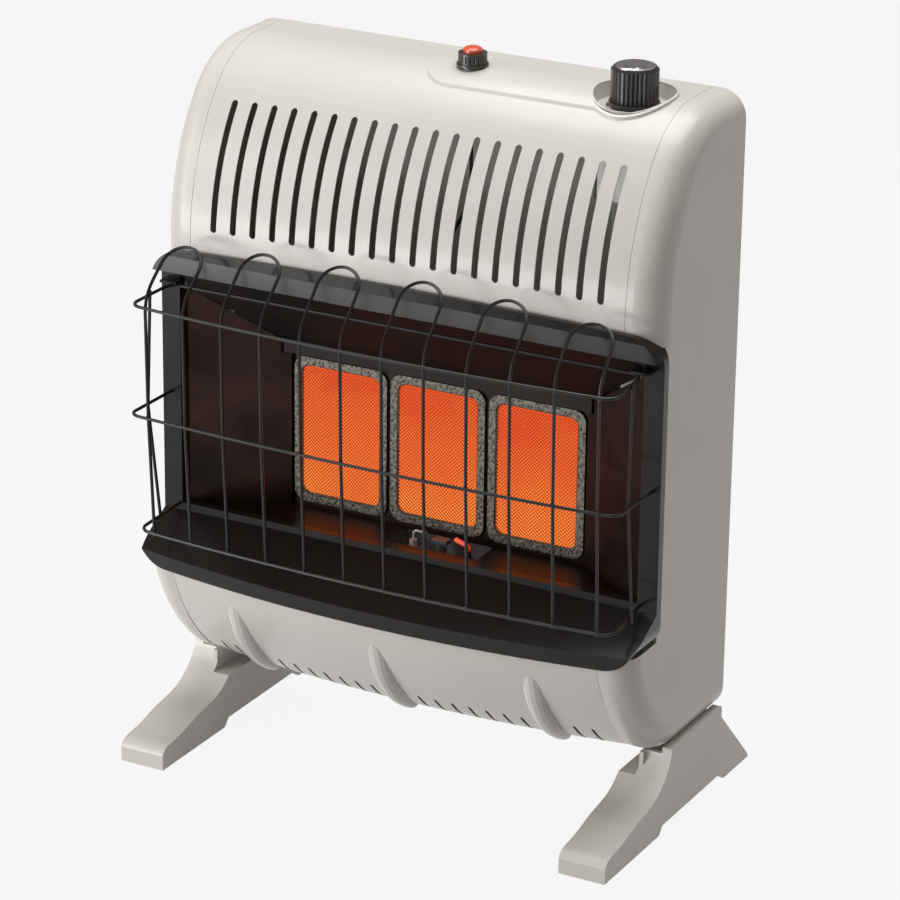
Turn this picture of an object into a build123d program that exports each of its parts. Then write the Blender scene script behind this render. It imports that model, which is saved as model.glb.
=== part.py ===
"""Vent-free infrared gas heater with a bowed wire guard, on two splayed feet.

Millimetres. +X is to the right seen from the front, -Y is the front, +Z is up. The origin is on
the floor, under the middle of the heater. Every piece is a separate solid in its own file.
"""

import os
from math import asin, cos, degrees, radians, sin, sqrt

from build123d import *

# %% Driving dimensions

# Cabinet
CASE_TOP = 688.0  # floor to the flat top of the cabinet
CASE_FLOOR = 74.0  # floor to the cabinet's underside
CASE_HALF = 260.0  # half of the cabinet's width
BACK_Y = 95.0  # plane of the cabinet's back
CAP_WIDTH = 33.0  # width of each side panel, seen from the front
SEAM_X = CASE_HALF - CAP_WIDTH  # joint between the front cover and each side panel
SEAM_GAP = 0.4
SHEET = 1.2  # painted steel sheet
TOP_FLAT_Y = 49.0  # the flat top ends here and starts to curve down
TOP_RADIUS, TOP_ANGLE = 97.0, 51.0  # tight curve of the shoulder
BROW_RADIUS = 225.0  # long curve below the shoulder, down to vertical
HEEL_Y = -0.6  # the flat underside ends here and starts to curve up
HEEL_RADIUS, HEEL_ANGLE = 76.5, 41.9
CHIN_RADIUS, CHIN_ANGLE = 221.0, 33.7
CORNER_RADIUS = 26.0  # rounding between the wrap and the flat sides
BOW_RADIUS = 1300.0  # plan radius of the bowed lower front
BOW_AXIS_Y = 1164.0  # upright axis that the lower front is bowed about

FLANGE_W = 14.0  # side panels' return flanges along the back
SCREW_RADIUS = 2.1
SCREW_SIDES = 8
SCREW_INSET = 10.0
CASE_SCREWS = [(side * (CASE_HALF - SCREW_INSET), z) for side in (-1, 1) for z in (150.0, 310.0, 470.0, 630.0)]

# Firebox opening behind the bezel
NOTCH_DEPTH = 120.0
WING_X = CASE_HALF - 19.5  # the side reflectors' splayed sheets end here
RECESS_Y = -59.0  # the cover's edges turn back to this plane
OPENING_TOP = 490.0
STRIP_INNER_X = SEAM_X - 22.0  # the strips that join the cover's two halves, behind the reflectors
STRIP_Y = -34.0
TAB_X = SEAM_X - 13.0  # the side panels' tabs reach under the cover as far as this

# Louvres
TOP_SLOT_PITCH, TOP_SLOT_WIDTH = 21.25, 6.6
SLOT_MARGIN = 20.0  # plain sheet left beside the outermost slots
TOP_SLOTS = int((2 * (SEAM_X - SLOT_MARGIN) - TOP_SLOT_WIDTH) / TOP_SLOT_PITCH) + 1
TOP_SLOT_LOW, TOP_SLOT_HIGH = OPENING_TOP + 33.0, CASE_TOP - 47.0
ARCH_RISE = 4.6  # rise of the slot rows and of the bezel's top edge at mid width
LOW_SLIT_PITCH, LOW_SLIT_FIRST = 17.7, 25.6  # the first slit stands this far from a rib's middle
LOW_SLIT_OUTER = (SEAM_X - 43.0, SEAM_X - 25.3)
RIB_PITCH = LOW_SLIT_OUTER[0] - LOW_SLIT_FIRST
LOW_SLITS_PER_ROW = int((RIB_PITCH - 2 * LOW_SLIT_FIRST) / LOW_SLIT_PITCH) + 1
LOW_SLIT_WIDTH = 3.4
LOW_SLIT_FRONT, LOW_SLIT_BACK = -84.0, -48.0  # at mid width, before the bow takes them back

# Ribs on the lower front
RIB_RADIUS = 11.5
RIB_PROUD = 7.5
RIB_TOP_Z, RIB_END_Y = 174.0, -52.0
RIB_MID_ANGLE = 21.5  # where along the chin's curve a rib stands proudest

# Bezel
BEZEL_OVERLAP = 4.0  # how far the bezel stands out past the cabinet's sides
BEZEL_HALF = CASE_HALF + BEZEL_OVERLAP
BEZEL_TOP, BEZEL_BOTTOM = OPENING_TOP + 17.0, 193.0
BEZEL_CORNER = 30.0
BEZEL_WALL = 2.4
BEZEL_FLANGE_Y = -69.0  # front of the side flanges
BEZEL_RAIL_LOW = BEZEL_TOP - 25.0  # underside of the top rail
RAIL_TOP_Y, RAIL_FRONT_Y = -82.0, -87.0  # front of the top rail at its top and at its underside
BEZEL_POST = 20.0  # width of the side flanges
WINDOW_HALF, WINDOW_LOW = BEZEL_HALF - BEZEL_POST, 243.0
LIP_TOP = 209.0
LIP_PROUD = 5.0  # bezel lip in front of the cabinet's skin

# Burner
PLAQUE_W, PLAQUE_H, PLAQUE_T = 92.0, 132.0, 13.0
FRAME_W, FRAME_H, FRAME_T = PLAQUE_W + 9.2, PLAQUE_H + 16.0, 3.0
FRAME_WINDOW_W, FRAME_WINDOW_H = PLAQUE_W - 8.0, PLAQUE_H - 2.0
FRAME_GAP = 4.1
PLAQUE_PITCH = FRAME_W + FRAME_GAP
FRAME_FRONT_Y = -5.0
BURNER_MID_Z = 317.0
HOUSING_DEPTH = 47.0
LINER = 0.9  # sheet of the reflectors

# Guard
WIRE = 3.2
WIRE_SIDES = 8  # wires and thin tubes are drawn with this many sides, to keep the files light
GUARD_HALF = BEZEL_HALF - 12.0
GUARD_BOW = 11.0
HAIRPIN_COUNT = 6
GUARD_END = 16.05  # the outermost legs stand this far inside the ends of the runs
LEG_PITCH = 2 * (GUARD_HALF - GUARD_END) / (2 * HAIRPIN_COUNT - 1)
HAIRPIN_PITCH = 2 * LEG_PITCH
HOOP_Z, HOOP_Y, HOOP_REAR_Y = 465.0, -143.2, -80.0
RAIL_Z, RAIL_Y = 355.0, -141.2
SILL_Z, SILL_Y = 236.0, -134.2
WELD = 0.3  # how far welded wires sink into each other

# Controls
CONTROL_Y = 37.5
KNOB_X, IGNITER_X = SEAM_X - 52.0, 9.5
PLATE_RISE = 2.5
PLATE_HALF, PLATE_LEFT_X = 33.5, 0.5
DISH_OUTER, DISH_RIM, DISH_FLOOR_R = 40.5, 38.0, 33.0
DISH_FLOOR, DISH_FRONT_RIM = CASE_TOP - 11.5, CASE_TOP - 8.0
KNOB_RADIUS, KNOB_HEIGHT, KNOB_FLUTES = 22.0, 37.0, 32
BUTTON_RADIUS = 9.0

# Feet
FOOT_INNER_X, FOOT_OUTER_X = CASE_HALF - 45.5, CASE_HALF + 2.0
FOOT_REACH = 157.0
SADDLE_INNER_X = CASE_HALF - 28.0
FOOT_WALL = 4.0


def save(part, label):
    """Name a finished piece and write it to its own file."""
    part.label = label
    export_step(part, f"parts/{label}.step")
    return part


def bow_shift(x):
    """How far the bowed lower front lies behind its middle at this x."""
    return BOW_RADIUS - sqrt(BOW_RADIUS**2 - x**2)


os.makedirs("parts", exist_ok=True)

FRONT_Y = TOP_FLAT_Y - TOP_RADIUS * sin(radians(TOP_ANGLE)) - BROW_RADIUS * (1 - sin(radians(TOP_ANGLE)))
BROW_END_Z = CASE_TOP - TOP_RADIUS * (1 - cos(radians(TOP_ANGLE))) - BROW_RADIUS * cos(radians(TOP_ANGLE))
CHIN_END = HEEL_ANGLE + CHIN_ANGLE
CHIN_Y = (
    HEEL_Y
    - HEEL_RADIUS * sin(radians(HEEL_ANGLE))
    - CHIN_RADIUS * (sin(radians(CHIN_END)) - sin(radians(HEEL_ANGLE)))
)
CHIN_Z = (
    CASE_FLOOR
    + HEEL_RADIUS * (1 - cos(radians(HEEL_ANGLE)))
    + CHIN_RADIUS * (cos(radians(HEEL_ANGLE)) - cos(radians(CHIN_END)))
)
CHIN_CENTRE_Y = CHIN_Y + CHIN_RADIUS * sin(radians(CHIN_END))
CHIN_CENTRE_Z = CHIN_Z + CHIN_RADIUS * cos(radians(CHIN_END))
SEAM_SHIFT = bow_shift(SEAM_X)
print("cabinet front", round(FRONT_Y, 1), "from z", round(BROW_END_Z, 1), "chin", round(CHIN_Y, 1), round(CHIN_Z, 1))


# %% Cabinet skin


def wrap_outline(x, inset, back_y):
    """Cabinet's closed side view at this x, its skin moved inwards by inset."""
    with BuildSketch(Plane.YZ.offset(x)) as outline:
        with BuildLine():
            top = Line((back_y, CASE_TOP - inset), (TOP_FLAT_Y, CASE_TOP - inset))
            shoulder = JernArc(top @ 1, (-1, 0), TOP_RADIUS - inset, TOP_ANGLE)
            brow = JernArc(shoulder @ 1, shoulder % 1, BROW_RADIUS - inset, 90 - TOP_ANGLE)
            under = Line((back_y, CASE_FLOOR + inset), (HEEL_Y, CASE_FLOOR + inset))
            heel = JernArc(under @ 1, (-1, 0), HEEL_RADIUS - inset, -HEEL_ANGLE)
            chin = JernArc(heel @ 1, heel % 1, CHIN_RADIUS - inset, -CHIN_ANGLE)
            Spline(brow @ 1, chin @ 1, tangents=(brow % 1, -(chin % 1)))
            Line(top @ 0, under @ 0)
        make_face()
    return outline.sketch


def end_cap_solid(inset, back_y):
    """Right end of the cabinet as a solid, from the seam to the side, with its rounded edge."""
    with BuildPart() as cap:
        extrude(to_extrude=wrap_outline(SEAM_X - inset, inset, back_y), amount=CASE_HALF - SEAM_X,
                dir=(1, 0, 0))
        rim = cap.faces().sort_by(Axis.X)[-1].edges()
        fillet([e for e in rim if (e @ 0.5).Y < back_y - 0.1], CORNER_RADIUS - inset)
    return cap.part


def box(x_span, y_span, z_span, mode=Mode.ADD):
    """Box between the two ends of each span, in the open part."""
    spans = (x_span, y_span, z_span)
    with Locations(Vector(*[sum(span) / 2 for span in spans])):
        return Box(*[abs(span[1] - span[0]) for span in spans], mode=mode)


with BuildPart() as right_side_panel:
    add(end_cap_solid(0, BACK_Y))
    add(end_cap_solid(SHEET, BACK_Y + SHEET), mode=Mode.SUBTRACT)
    box((SEAM_X - 5, CASE_HALF + 5), (RECESS_Y - NOTCH_DEPTH, RECESS_Y), (CHIN_Z, OPENING_TOP), Mode.SUBTRACT)
    box((WING_X + 1.2, CASE_HALF - SHEET), (RECESS_Y, RECESS_Y + SHEET), (CHIN_Z, OPENING_TOP))
    box((CASE_HALF - SHEET - FLANGE_W, CASE_HALF - SHEET), (BACK_Y - SHEET, BACK_Y),
        (CASE_FLOOR + CORNER_RADIUS, CASE_TOP - CORNER_RADIUS))
    for z in (CASE_TOP - 2 * SHEET, CASE_FLOOR + SHEET):
        box((TAB_X, SEAM_X + 6), (TOP_FLAT_Y + 20, BACK_Y - 3 * SHEET), (z, z + SHEET))
    with BuildSketch(Plane.XZ.offset(-BACK_Y - SHEET)):
        with Locations(*[(x, z) for x, z in CASE_SCREWS if x > 0]):
            RegularPolygon(SCREW_RADIUS + 0.1, SCREW_SIDES)
    extrude(amount=4 * SHEET, mode=Mode.SUBTRACT)

save(right_side_panel.part, "right_side_panel")
save(mirror(right_side_panel.part, about=Plane.YZ), "left_side_panel")


# %% Front cover

COVER_HALF = SEAM_X - SEAM_GAP


def upper_outline(x, inset):
    """Closed side view of the cover above the bezel opening, its skin moved inwards by inset."""
    with BuildSketch(Plane.YZ.offset(x)) as outline:
        with BuildLine():
            top = Line((BACK_Y + inset, CASE_TOP - inset), (TOP_FLAT_Y, CASE_TOP - inset))
            shoulder = JernArc(top @ 1, (-1, 0), TOP_RADIUS - inset, TOP_ANGLE)
            brow = JernArc(shoulder @ 1, shoulder % 1, BROW_RADIUS - inset, 90 - TOP_ANGLE)
            floor = OPENING_TOP + inset
            Polyline(brow @ 1, (FRONT_Y + inset, floor), (BACK_Y + inset, floor), top @ 0)
        make_face()
    return outline.sketch


def bowed_solid(inset, x_limit, back_y):
    """Lower front of the cabinet up to the chin, bowed in plan, its skin moved inwards by inset."""
    sweep_half = degrees(asin(x_limit / (BOW_RADIUS - 200))) + 1
    turn = radians(sweep_half)
    chin_r = BOW_AXIS_Y - CHIN_Y + SEAM_SHIFT
    heel_r = chin_r + CHIN_Y - HEEL_Y
    back_r = BOW_AXIS_Y - BACK_Y - 60
    start = Plane((0, BOW_AXIS_Y, 0), x_dir=(-sin(turn), -cos(turn), 0), z_dir=(-cos(turn), sin(turn), 0))
    with BuildPart() as block:
        with BuildSketch(start):
            with BuildLine():
                under = Line((back_r, CASE_FLOOR + inset), (heel_r, CASE_FLOOR + inset))
                heel = JernArc(under @ 1, (1, 0), HEEL_RADIUS - inset, HEEL_ANGLE)
                chin = JernArc(heel @ 1, heel % 1, CHIN_RADIUS - inset, CHIN_ANGLE)
                Polyline(chin @ 1, (back_r, (chin @ 1).Y), under @ 0)
            make_face()
        revolve(axis=Axis((0, BOW_AXIS_Y, 0), (0, 0, 1)), revolution_arc=2 * sweep_half)
        box((-x_limit, x_limit), (-400, back_y), (0, CHIN_Z - inset), Mode.INTERSECT)
    return block.part


def rib_ring(radius):
    """Ring whose outside stands proud of the lower front as one raised rib."""
    mid_angle = radians(CHIN_END - RIB_MID_ANGLE)
    middle = Vector(CHIN_CENTRE_Y - SEAM_SHIFT, CHIN_CENTRE_Z)
    top = middle + Vector(-sqrt(CHIN_RADIUS**2 - (CHIN_CENTRE_Z - RIB_TOP_Z) ** 2) + 0.8, RIB_TOP_Z - CHIN_CENTRE_Z)
    mid = middle - (CHIN_RADIUS + RIB_PROUD) * Vector(sin(mid_angle), cos(mid_angle))
    end = Vector(RIB_END_Y - 8, CASE_FLOOR + 4.5)
    crown = ThreePointArc(top, mid, end)
    centre = crown.arc_center
    with BuildPart() as ring:
        with BuildSketch(Plane.XZ.offset(-centre.X)):
            with Locations((0, centre.Y - (crown.radius - RIB_RADIUS))):
                RegularPolygon(radius, 2 * WIRE_SIDES, rotation=90)
        revolve(axis=Axis((0, centre.X, centre.Y), (1, 0, 0)), revolution_arc=360)
        box((-2 * radius, 2 * radius), (CHIN_Y - 60, end.X + 6), (0, RIB_TOP_Z + 4), Mode.INTERSECT)
    return ring.part


def draw_slot(length, width):
    """Upright slot with faceted round ends, in the open sketch at the current location."""
    with BuildSketch(mode=Mode.PRIVATE) as slot:
        Rectangle(width, length)
        chamfer(slot.vertices(), width * 0.3)
    add(slot.sketch)


def slot_rise(x):
    """How far the slot rows and the bezel's top edge arch up at this x."""
    return ARCH_RISE * (1 - (x / CASE_HALF) ** 2)


with BuildPart() as upper_sheet:
    extrude(to_extrude=upper_outline(-COVER_HALF, 0), amount=2 * COVER_HALF, dir=(1, 0, 0))
    extrude(to_extrude=upper_outline(-COVER_HALF - 1, SHEET), amount=2 * COVER_HALF + 2, dir=(1, 0, 0),
            mode=Mode.SUBTRACT)
    box((-COVER_HALF, COVER_HALF), (STRIP_Y, BACK_Y + 5), (OPENING_TOP - 5, OPENING_TOP + 5), Mode.SUBTRACT)
    with BuildSketch(Plane.XZ):
        for i in range(TOP_SLOTS):
            x = (i - (TOP_SLOTS - 1) / 2) * TOP_SLOT_PITCH
            with Locations((x, (TOP_SLOT_LOW + TOP_SLOT_HIGH) / 2 + slot_rise(x))):
                draw_slot(TOP_SLOT_HIGH - TOP_SLOT_LOW, TOP_SLOT_WIDTH)
    extrude(amount=CASE_HALF, mode=Mode.SUBTRACT)
print("upper sheet", len(upper_sheet.solids()), round(upper_sheet.part.volume), upper_sheet.part.bounding_box())

slit_steps = [LOW_SLIT_FIRST + LOW_SLIT_PITCH * k for k in range(LOW_SLITS_PER_ROW)] + list(LOW_SLIT_OUTER)
with BuildPart() as front_cover:
    add(bowed_solid(0, COVER_HALF, BACK_Y))
    for x in (-RIB_PITCH, 0, RIB_PITCH):
        with Locations((x, bow_shift(x), 0)):
            add(rib_ring(RIB_RADIUS))
    add(bowed_solid(SHEET, COVER_HALF + 1, BACK_Y + 1), mode=Mode.SUBTRACT)
    box((-COVER_HALF, COVER_HALF), (STRIP_Y, BACK_Y + 5), (CHIN_Z - 3 * SHEET, CHIN_Z + 5), Mode.SUBTRACT)
    box((-CASE_HALF, CASE_HALF), (-400, 400), (CHIN_Z, 2 * CASE_TOP), Mode.SUBTRACT)
    box((-CASE_HALF, CASE_HALF), (RIB_END_Y + 10, 400), (-200, CASE_FLOOR), Mode.SUBTRACT)
    for x in (-RIB_PITCH, 0, RIB_PITCH):
        with Locations((x, bow_shift(x), 0)):
            add(rib_ring(RIB_RADIUS - SHEET), mode=Mode.SUBTRACT)
    print("ribbed", len(front_cover.solids()), [round(s.volume) for s in front_cover.solids()])
    with BuildSketch(Plane.XY):
        for x in [side * step for side in (-1, 1) for step in slit_steps]:
            with Locations((x, (LOW_SLIT_FRONT + LOW_SLIT_BACK) / 2 + bow_shift(x))):
                draw_slot(LOW_SLIT_BACK - LOW_SLIT_FRONT, LOW_SLIT_WIDTH)
    extrude(amount=CASE_FLOOR + 70, mode=Mode.SUBTRACT)
    add(upper_sheet.part)
    for side in (-1, 1):
        box((side * STRIP_INNER_X, side * COVER_HALF), (STRIP_Y - SHEET, STRIP_Y),
            (CHIN_Z - SHEET, OPENING_TOP + SHEET))
print("cover", len(front_cover.solids()), round(front_cover.part.volume), front_cover.part.bounding_box())
save(front_cover.part, "front_cover")


# %% Back panel and case screws

BACK_INNER_Y = BACK_Y - SHEET  # the back panel lies against the flanges' inner side
KEYHOLE_X, KEYHOLE_Z, KEYHOLE_RADIUS, KEYHOLE_SLOT = 170.0, CASE_TOP - 68.0, 6.0, 3.0
INLET_X, INLET_Y, INLET_Z = KNOB_X, 62.0, 140.0
FLARE_RADIUS = 7.94  # outside of the 5/8 in inlet flare
FLARE_REACH = 17.0  # how far the inlet stands out of the back

with BuildPart() as back_panel:
    with BuildSketch(Plane.XZ.offset(-(BACK_INNER_Y - SHEET))):
        with Locations((0, (CASE_TOP + CASE_FLOOR) / 2)):
            RectangleRounded(2 * (CASE_HALF - SHEET - 0.2), CASE_TOP - CASE_FLOOR - 2 * SHEET - 0.4,
                             CORNER_RADIUS - SHEET - 0.2)
        for side in (-1, 1):
            with Locations((side * KEYHOLE_X, KEYHOLE_Z)):
                Circle(KEYHOLE_RADIUS, mode=Mode.SUBTRACT)
            with Locations((side * KEYHOLE_X, KEYHOLE_Z + KEYHOLE_RADIUS)):
                SlotOverall(2 * KEYHOLE_RADIUS + 6, 2 * KEYHOLE_SLOT, rotation=90, mode=Mode.SUBTRACT)
        with Locations((INLET_X, INLET_Z)):
            Circle(FLARE_RADIUS + 1, mode=Mode.SUBTRACT)
        with Locations(*CASE_SCREWS):
            RegularPolygon(SCREW_RADIUS - 0.15, SCREW_SIDES, mode=Mode.SUBTRACT)
        for k in range(8):
            with Locations(((k - 3.5) * 40 - 20, CASE_FLOOR + 36)):
                Rectangle(26, 5, mode=Mode.SUBTRACT)
    extrude(amount=-SHEET)
save(back_panel.part, "back_panel")

with BuildPart() as casing_screws:
    with BuildSketch(Plane.XZ.offset(-BACK_Y)):
        with Locations(*CASE_SCREWS):
            RegularPolygon(3.8, 6)
    extrude(amount=-2.2)
    with BuildSketch(Plane.XZ.offset(-BACK_Y)):
        with Locations(*CASE_SCREWS):
            RegularPolygon(SCREW_RADIUS - 0.2, SCREW_SIDES)
    extrude(amount=9)
save(casing_screws.part, "casing_screws")


# %% Bezel

BEZEL_SEAT_Y = RECESS_Y - LINER  # the bezel closes against the reflectors' edges
CHIN_LEAN = 0.257  # how fast the skin runs forward with height at the chin


def lip_outline(x, inset):
    """Side view of the bezel's bottom lip at this x, moved inwards by inset."""
    front = CHIN_Y - SEAM_SHIFT + bow_shift(x) - LIP_PROUD
    low = front + CHIN_LEAN * (CHIN_Z - BEZEL_BOTTOM) + inset
    high = front - CHIN_LEAN * (LIP_TOP - CHIN_Z) * 0.4 + inset
    floor = BEZEL_BOTTOM - 4 * inset
    with BuildSketch(Plane.YZ.offset(x)) as outline:
        with BuildLine():
            Polyline((low, floor), (high, LIP_TOP - 1.3 * inset), (BEZEL_SEAT_Y + inset, WINDOW_LOW - 3 - 1.1 * inset),
                     (BEZEL_SEAT_Y + inset, floor), close=True)
        make_face()
    return outline.sketch


def bezel_block(inset):
    """Bezel as a closed block, all its outer faces moved inwards by inset."""
    with BuildPart() as lip:
        steps = (-BEZEL_HALF, -BEZEL_HALF / 2, 0, BEZEL_HALF / 2, BEZEL_HALF)
        loft([lip_outline(x, inset) for x in steps])
    with BuildPart() as block:
        box((-BEZEL_HALF, BEZEL_HALF), (BEZEL_FLANGE_Y + inset, BEZEL_SEAT_Y + inset),
            (BEZEL_BOTTOM - inset, BEZEL_TOP - inset))
        with BuildSketch(Plane.YZ.offset(-BEZEL_HALF)):
            with BuildLine():
                Polyline((BEZEL_SEAT_Y + inset, BEZEL_RAIL_LOW + inset), (RAIL_FRONT_Y + inset, BEZEL_RAIL_LOW + inset),
                         (RAIL_FRONT_Y + 1 + inset, BEZEL_RAIL_LOW + 16), (RAIL_TOP_Y + inset, BEZEL_TOP - inset),
                         (BEZEL_SEAT_Y + inset, BEZEL_TOP - inset), close=True)
            make_face()
        extrude(amount=2 * BEZEL_HALF)
        add(lip.part)
        with BuildSketch(Plane.XZ.offset(40)):
            with BuildLine():
                half, low, high = BEZEL_HALF - inset, BEZEL_BOTTOM - 4 * inset, BEZEL_TOP - inset
                Polyline((half, high - ARCH_RISE), (half, low), (-half, low), (-half, high - ARCH_RISE))
                ThreePointArc((-half, high - ARCH_RISE), (0, high), (half, high - ARCH_RISE))
            face = make_face()
            fillet(face.vertices(), BEZEL_CORNER - inset)
        extrude(amount=130, mode=Mode.INTERSECT)
        with BuildSketch(Plane.XY.offset(BEZEL_BOTTOM - 20)):
            with Locations((0, 10)):
                RectangleRounded(2 * (BEZEL_HALF - inset), 2 * 160, BEZEL_CORNER - 2 - inset)
        extrude(amount=BEZEL_TOP, mode=Mode.INTERSECT)
    return block.part


with BuildPart() as hollow:
    add(bezel_block(BEZEL_WALL))
    box((-WINDOW_HALF - BEZEL_WALL, WINDOW_HALF + BEZEL_WALL), (BEZEL_FLANGE_Y - 1, BEZEL_SEAT_Y + 9),
        (WINDOW_LOW - BEZEL_WALL, BEZEL_RAIL_LOW + BEZEL_WALL), Mode.SUBTRACT)
with BuildPart() as bezel:
    add(bezel_block(0))
    add(hollow.part, mode=Mode.SUBTRACT)
    box((-WINDOW_HALF, WINDOW_HALF), (-200, 0), (WINDOW_LOW, BEZEL_RAIL_LOW), Mode.SUBTRACT)
    with BuildSketch(Plane.XY.offset(BEZEL_RAIL_LOW + 8)):
        with Locations((0, FRONT_Y - 1.2 + 50)):
            RectangleRounded(2 * (CASE_HALF + 1.2), 100, CORNER_RADIUS)
    extrude(amount=50, mode=Mode.SUBTRACT)
    box((-BEZEL_HALF - 5, BEZEL_HALF + 5), (BEZEL_SEAT_Y, 40), (BEZEL_BOTTOM - 20, BEZEL_TOP + 10), Mode.SUBTRACT)
print("bezel", [round(s.volume) for s in bezel.solids()], bezel.part.bounding_box())
save(bezel.part, "bezel")


# %% Burner

HOUSING_HALF = PLAQUE_PITCH + FRAME_W / 2 + 2.6
HOUSING_FRONT = FRAME_FRONT_Y + FRAME_T
HOUSING_LOW = BURNER_MID_Z - FRAME_H / 2 - 2.5
HOUSING_HIGH = BURNER_MID_Z + FRAME_H / 2 + 2.5
HOUSING_BACK = HOUSING_FRONT + HOUSING_DEPTH
HOUSING_WALL = 1.5
MIXER_Y, MIXER_Z, MIXER_RADIUS, MIXER_WALL = 66.0, 330.0, 10.0, 1.2
MIXER_END_X = 60.0  # the mixer tube turns forward into the burner here
BURNER_TUBE_X = KNOB_X - 15.0
COLUMNS = (("left", -1), ("middle", 0), ("right", 1))

with BuildPart() as burner_housing:
    box((-HOUSING_HALF, HOUSING_HALF), (HOUSING_FRONT, HOUSING_BACK), (HOUSING_LOW, HOUSING_HIGH))
    box((-HOUSING_HALF + HOUSING_WALL, HOUSING_HALF - HOUSING_WALL),
        (HOUSING_FRONT + HOUSING_WALL, HOUSING_BACK - HOUSING_WALL),
        (HOUSING_LOW + HOUSING_WALL, HOUSING_HIGH - HOUSING_WALL), Mode.SUBTRACT)
    for name, column in COLUMNS:
        box((column * PLAQUE_PITCH - PLAQUE_W / 2 - 0.5, column * PLAQUE_PITCH + PLAQUE_W / 2 + 0.5),
            (HOUSING_FRONT - 1, HOUSING_FRONT + 5),
            (BURNER_MID_Z - PLAQUE_H / 2 - 0.5, BURNER_MID_Z + PLAQUE_H / 2 + 0.5), Mode.SUBTRACT)
    with Locations(Location((60, HOUSING_BACK, MIXER_Z), (90, 0, 0))):
        Cylinder(MIXER_RADIUS + 0.5, 8, mode=Mode.SUBTRACT)
save(burner_housing.part, "burner_housing")

for name, column in COLUMNS:
    with BuildPart() as plaque:
        box((column * PLAQUE_PITCH - PLAQUE_W / 2, column * PLAQUE_PITCH + PLAQUE_W / 2),
            (HOUSING_FRONT, HOUSING_FRONT + PLAQUE_T),
            (BURNER_MID_Z - PLAQUE_H / 2, BURNER_MID_Z + PLAQUE_H / 2))
    save(plaque.part, f"plaque_{name}")
    with BuildPart() as frame:
        with BuildSketch(Plane.XZ.offset(-FRAME_FRONT_Y)):
            with Locations((column * PLAQUE_PITCH, BURNER_MID_Z)):
                RectangleRounded(FRAME_W, FRAME_H, 12)
                RectangleRounded(FRAME_WINDOW_W, FRAME_WINDOW_H, 8, mode=Mode.SUBTRACT)
        extrude(amount=-FRAME_T)
        front = frame.faces().sort_by(Axis.Y)[0]
        chamfer([e for e in front.inner_wires()[0].edges()], 1.5)
    save(frame.part, f"plaque_frame_{name}")


def tube(points, radius, bore=0.0, bend=12.0):
    """Round tube or wire through the points, with a rounded bend at each corner."""
    with BuildLine() as route:
        if len(points) == 2:
            Line(*points)
        else:
            FilletPolyline(*points, radius=bend)
    path = route.wire()
    with BuildPart() as run:
        with BuildSketch(Plane(origin=path @ 0, z_dir=path % 0)):
            RegularPolygon(radius, 2 * WIRE_SIDES if bore else WIRE_SIDES)
            if bore:
                RegularPolygon(bore, 2 * WIRE_SIDES, mode=Mode.SUBTRACT)
        sweep(path=path)
    return run.part


with BuildPart() as mixer_tube:
    add(tube([(BURNER_TUBE_X - 28, MIXER_Y, MIXER_Z), (MIXER_END_X, MIXER_Y, MIXER_Z), (MIXER_END_X, HOUSING_BACK, MIXER_Z)],
             MIXER_RADIUS, MIXER_RADIUS - MIXER_WALL, bend=15))
    flanges = (
        (Plane.YZ.offset(BURNER_TUBE_X - 30), (MIXER_Y, MIXER_Z)),
        (Plane.XZ.offset(-HOUSING_BACK - 1.5), (MIXER_END_X, MIXER_Z)),
    )
    for face, at in flanges:
        with BuildSketch(face):
            with Locations(at):
                RegularPolygon(MIXER_RADIUS + 5, 2 * WIRE_SIDES)
        extrude(amount=1.5)
        with BuildSketch(face.offset(-1)):
            with Locations(at):
                RegularPolygon(MIXER_RADIUS - MIXER_WALL, 2 * WIRE_SIDES)
        extrude(amount=4, mode=Mode.SUBTRACT)
save(mixer_tube.part, "mixer_tube")

with BuildPart() as orifice_holder:
    box((BURNER_TUBE_X - 8, BURNER_TUBE_X + 8), (MIXER_Y - 8, MIXER_Y + 8), (MIXER_Z - 8, MIXER_Z + 8))
    with Locations(Location((BURNER_TUBE_X - 8, MIXER_Y, MIXER_Z), (0, -90, 0))):
        Cone(6, 3, 7, align=(Align.CENTER, Align.CENTER, Align.MIN))
save(orifice_holder.part, "orifice_holder")


# %% Reflectors

SHELF_LOW = HOUSING_LOW - 2.5
SHELF_FRONT_Y = -55.0
REFLECTOR_RISE_Z, REFLECTOR_TOP_Y = 408.0, -75.0

with BuildPart() as lower_reflector:
    with BuildSketch(Plane.XY.offset(SHELF_LOW)):
        with BuildLine():
            Polyline((-HOUSING_HALF + 1, HOUSING_FRONT), (9.5 - WING_X, SHELF_FRONT_Y), (WING_X - 9.5, SHELF_FRONT_Y),
                     (HOUSING_HALF - 1, HOUSING_FRONT), close=True)
        make_face()
        with Locations((15, -26.5)):
            RectangleRounded(100, 37, 4, mode=Mode.SUBTRACT)
    extrude(amount=LINER)
    box((-HOUSING_HALF + 1, HOUSING_HALF - 1), (HOUSING_FRONT - LINER, HOUSING_FRONT), (SHELF_LOW, HOUSING_LOW + 2))
save(lower_reflector.part, "lower_reflector")


def wing_slope(y):
    """Height of the top reflector's underside at this depth."""
    return REFLECTOR_RISE_Z + (BEZEL_RAIL_LOW - 4 - REFLECTOR_RISE_Z) * (y + 10) / (REFLECTOR_TOP_Y + 10)


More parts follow.
